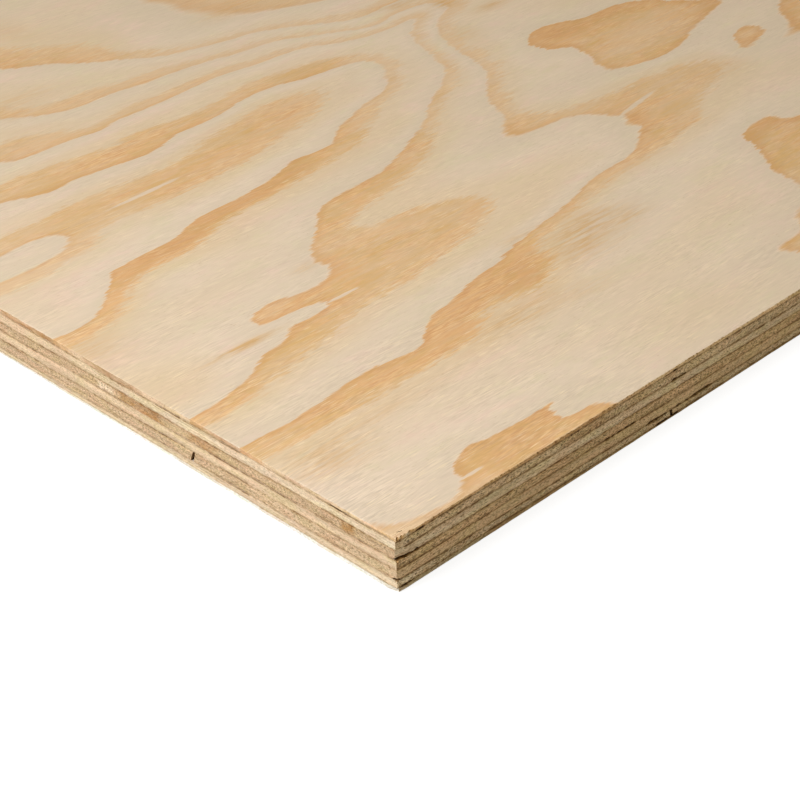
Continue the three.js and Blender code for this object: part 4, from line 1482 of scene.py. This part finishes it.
# The studio. An even lamp far off the short edge lights the whole sheet, a close one the near
# corner, and the pale room fills the shade. A share is how much of a level surface's light it
# gives. Lengths here are metres.
studio = {
    "evenLamp": {
        "aim": (0.0, 0.0, 0.018),
        "towards": (-0.70, 0.17, 0.70),
        "distance": 9.0,
        "size": 3.5,
        "share": 0.25,
    },
    "closeLamp": {
        "aim": (-1.10, -0.50, 0.018),
        "towards": (-0.722, 0.0, 0.692),
        "distance": 0.7,
        "size": 0.3,
        "share": 0.345,
    },
    "lampColour": (0.955, 1.0, 1.11),
    "roomShare": 0.32,
    "roomColour": (1.09, 1.0, 0.71),
    "floorReach": 30.0,  # how far the floor goes on each way
    "floorDrop": 0.0002,  # how far it lies below the sheet
    "floorTone": 0.5,  # how much light the floor gives back to the sheet
    "shadeTone": 0.25,  # how much shows where the camera sees it, which carries the shade
    "floorLift": 0.86,  # and the light that is added there to make it near white
}


# Turns and moves a thing so that its own axes point along across, up and back.
def putAt(held, across, up, back, place):
    matrix = np.eye(4)
    matrix[:3] = np.column_stack([across, up, back, place])
    held.matrix_world = Matrix(matrix.tolist())


# A round lamp at its distance from its aim, turned to face it. It takes a power of
# pi^2 d^2 share / cos a, where d is the distance and a the light's angle from straight down.
def makeLamp(name):
    plan = studio[name]
    towards = np.array(plan["towards"])
    towards = towards / np.linalg.norm(towards)
    lamp = bpy.data.lights.new(name, "AREA")
    lamp.shape = "DISK"
    lamp.size = plan["size"]
    lamp.color = studio["lampColour"]
    lamp.energy = math.pi**2 * plan["distance"] ** 2 * plan["share"] / towards[2]
    held = bpy.data.objects.new(name, lamp)
    held.visible_camera = False
    bpy.context.scene.collection.objects.link(held)
    across = np.cross((0, 0, 1), towards)
    across = across / np.linalg.norm(across)
    place = np.array(plan["aim"]) + towards * plan["distance"]
    putAt(held, across, np.cross(towards, across), towards, place)


# 1 where a ray comes from the camera or through something clear, and 0 for all other light: the
# greater of those two marks.
def seenDirectly(net):
    path = net.node("LightPath").outputs
    return net.maths("MAXIMUM", path["Is Camera Ray"], path["Is Transmission Ray"])


# The room: white where the camera sees it, and a pale fill of its own share for the sheet.
def makeRoom():
    world = bpy.data.worlds.new("room")
    bpy.context.scene.world = world
    net = emptyNet(world)
    inputs = {"Color": (*studio["roomColour"], 1.0), "Strength": studio["roomShare"]}
    fill = net.result(0, "Background", inputs)
    white = net.result(0, "Background", {"Color": (1, 1, 1, 1), "Strength": 1.0})
    both = net.result(0, "MixShader", {0: seenDirectly(net), 1: fill, 2: white})
    net.node("OutputWorld", {"Surface": both})


# The floor: a level square just below the sheet. The camera sees its shade tone times the light
# that falls on it, plus its lift, and the sheet gets back its floor tone times that light.
def makeFloor():
    reach, level = studio["floorReach"], -studio["floorDrop"]
    signs = [(-1, -1), (1, -1), (1, 1), (-1, 1)]
    points = [(reach * signX, reach * signY, level) for signX, signY in signs]
    mesh = bpy.data.meshes.new("floor")
    mesh.from_pydata(points, [], [(0, 1, 2, 3)])
    floor = bpy.data.objects.new("floor", mesh)
    bpy.context.scene.collection.objects.link(floor)
    material = bpy.data.materials.new("pale floor")
    net = emptyNet(material)

    def matt(tone):
        return net.result(0, "BsdfDiffuse", {"Color": (tone, tone, tone, 1.0)})

    lift = net.result(0, "Emission", {"Color": (1, 1, 1, 1), "Strength": studio["floorLift"]})
    lifted = net.result(0, "AddShader", {0: matt(studio["shadeTone"]), 1: lift})
    inputs = {0: seenDirectly(net), 1: matt(studio["floorTone"]), 2: lifted}
    net.node("OutputMaterial", {"Surface": net.result(0, "MixShader", inputs)})
    mesh.materials.append(material)


makeLamp("evenLamp")
makeLamp("closeLamp")
makeRoom()
makeFloor()

# The camera looks down on the near corner, along (cos d cos h, cos d sin h, -sin d), where d is
# how far down it points and h its heading. Its place and clip are metres.
view = {
    "place": (-1.509281, -0.903780, 0.328117),
    "down": 32.76,  # degrees below the horizon
    "heading": 45.18,  # degrees from +X towards +Y
    "roll": -1.0,  # degrees
    "lens": 87.44,
    "sensor": 36,
    "clip": (0.01, 100),
}
camera = bpy.data.cameras.new("camera")
camera.lens = view["lens"]
camera.sensor_width = view["sensor"]
camera.clip_start, camera.clip_end = view["clip"]
holder = bpy.data.objects.new("camera", camera)
bpy.context.scene.collection.objects.link(holder)
pitch, heading, roll = (math.radians(view[key]) for key in ("down", "heading", "roll"))
cosH, sinH = math.cos(heading), math.sin(heading)
forward = np.array([math.cos(pitch) * cosH, math.cos(pitch) * sinH, -math.sin(pitch)])
level = np.array([sinH, -cosH, 0.0])
upright = np.cross(level, forward)
right = math.cos(roll) * level + math.sin(roll) * upright
top = math.cos(roll) * upright - math.sin(roll) * level
putAt(holder, right, top, -forward, view["place"])
bpy.context.scene.camera = holder
bpy.context.scene.view_settings.view_transform = "Standard"

print("scene finished")
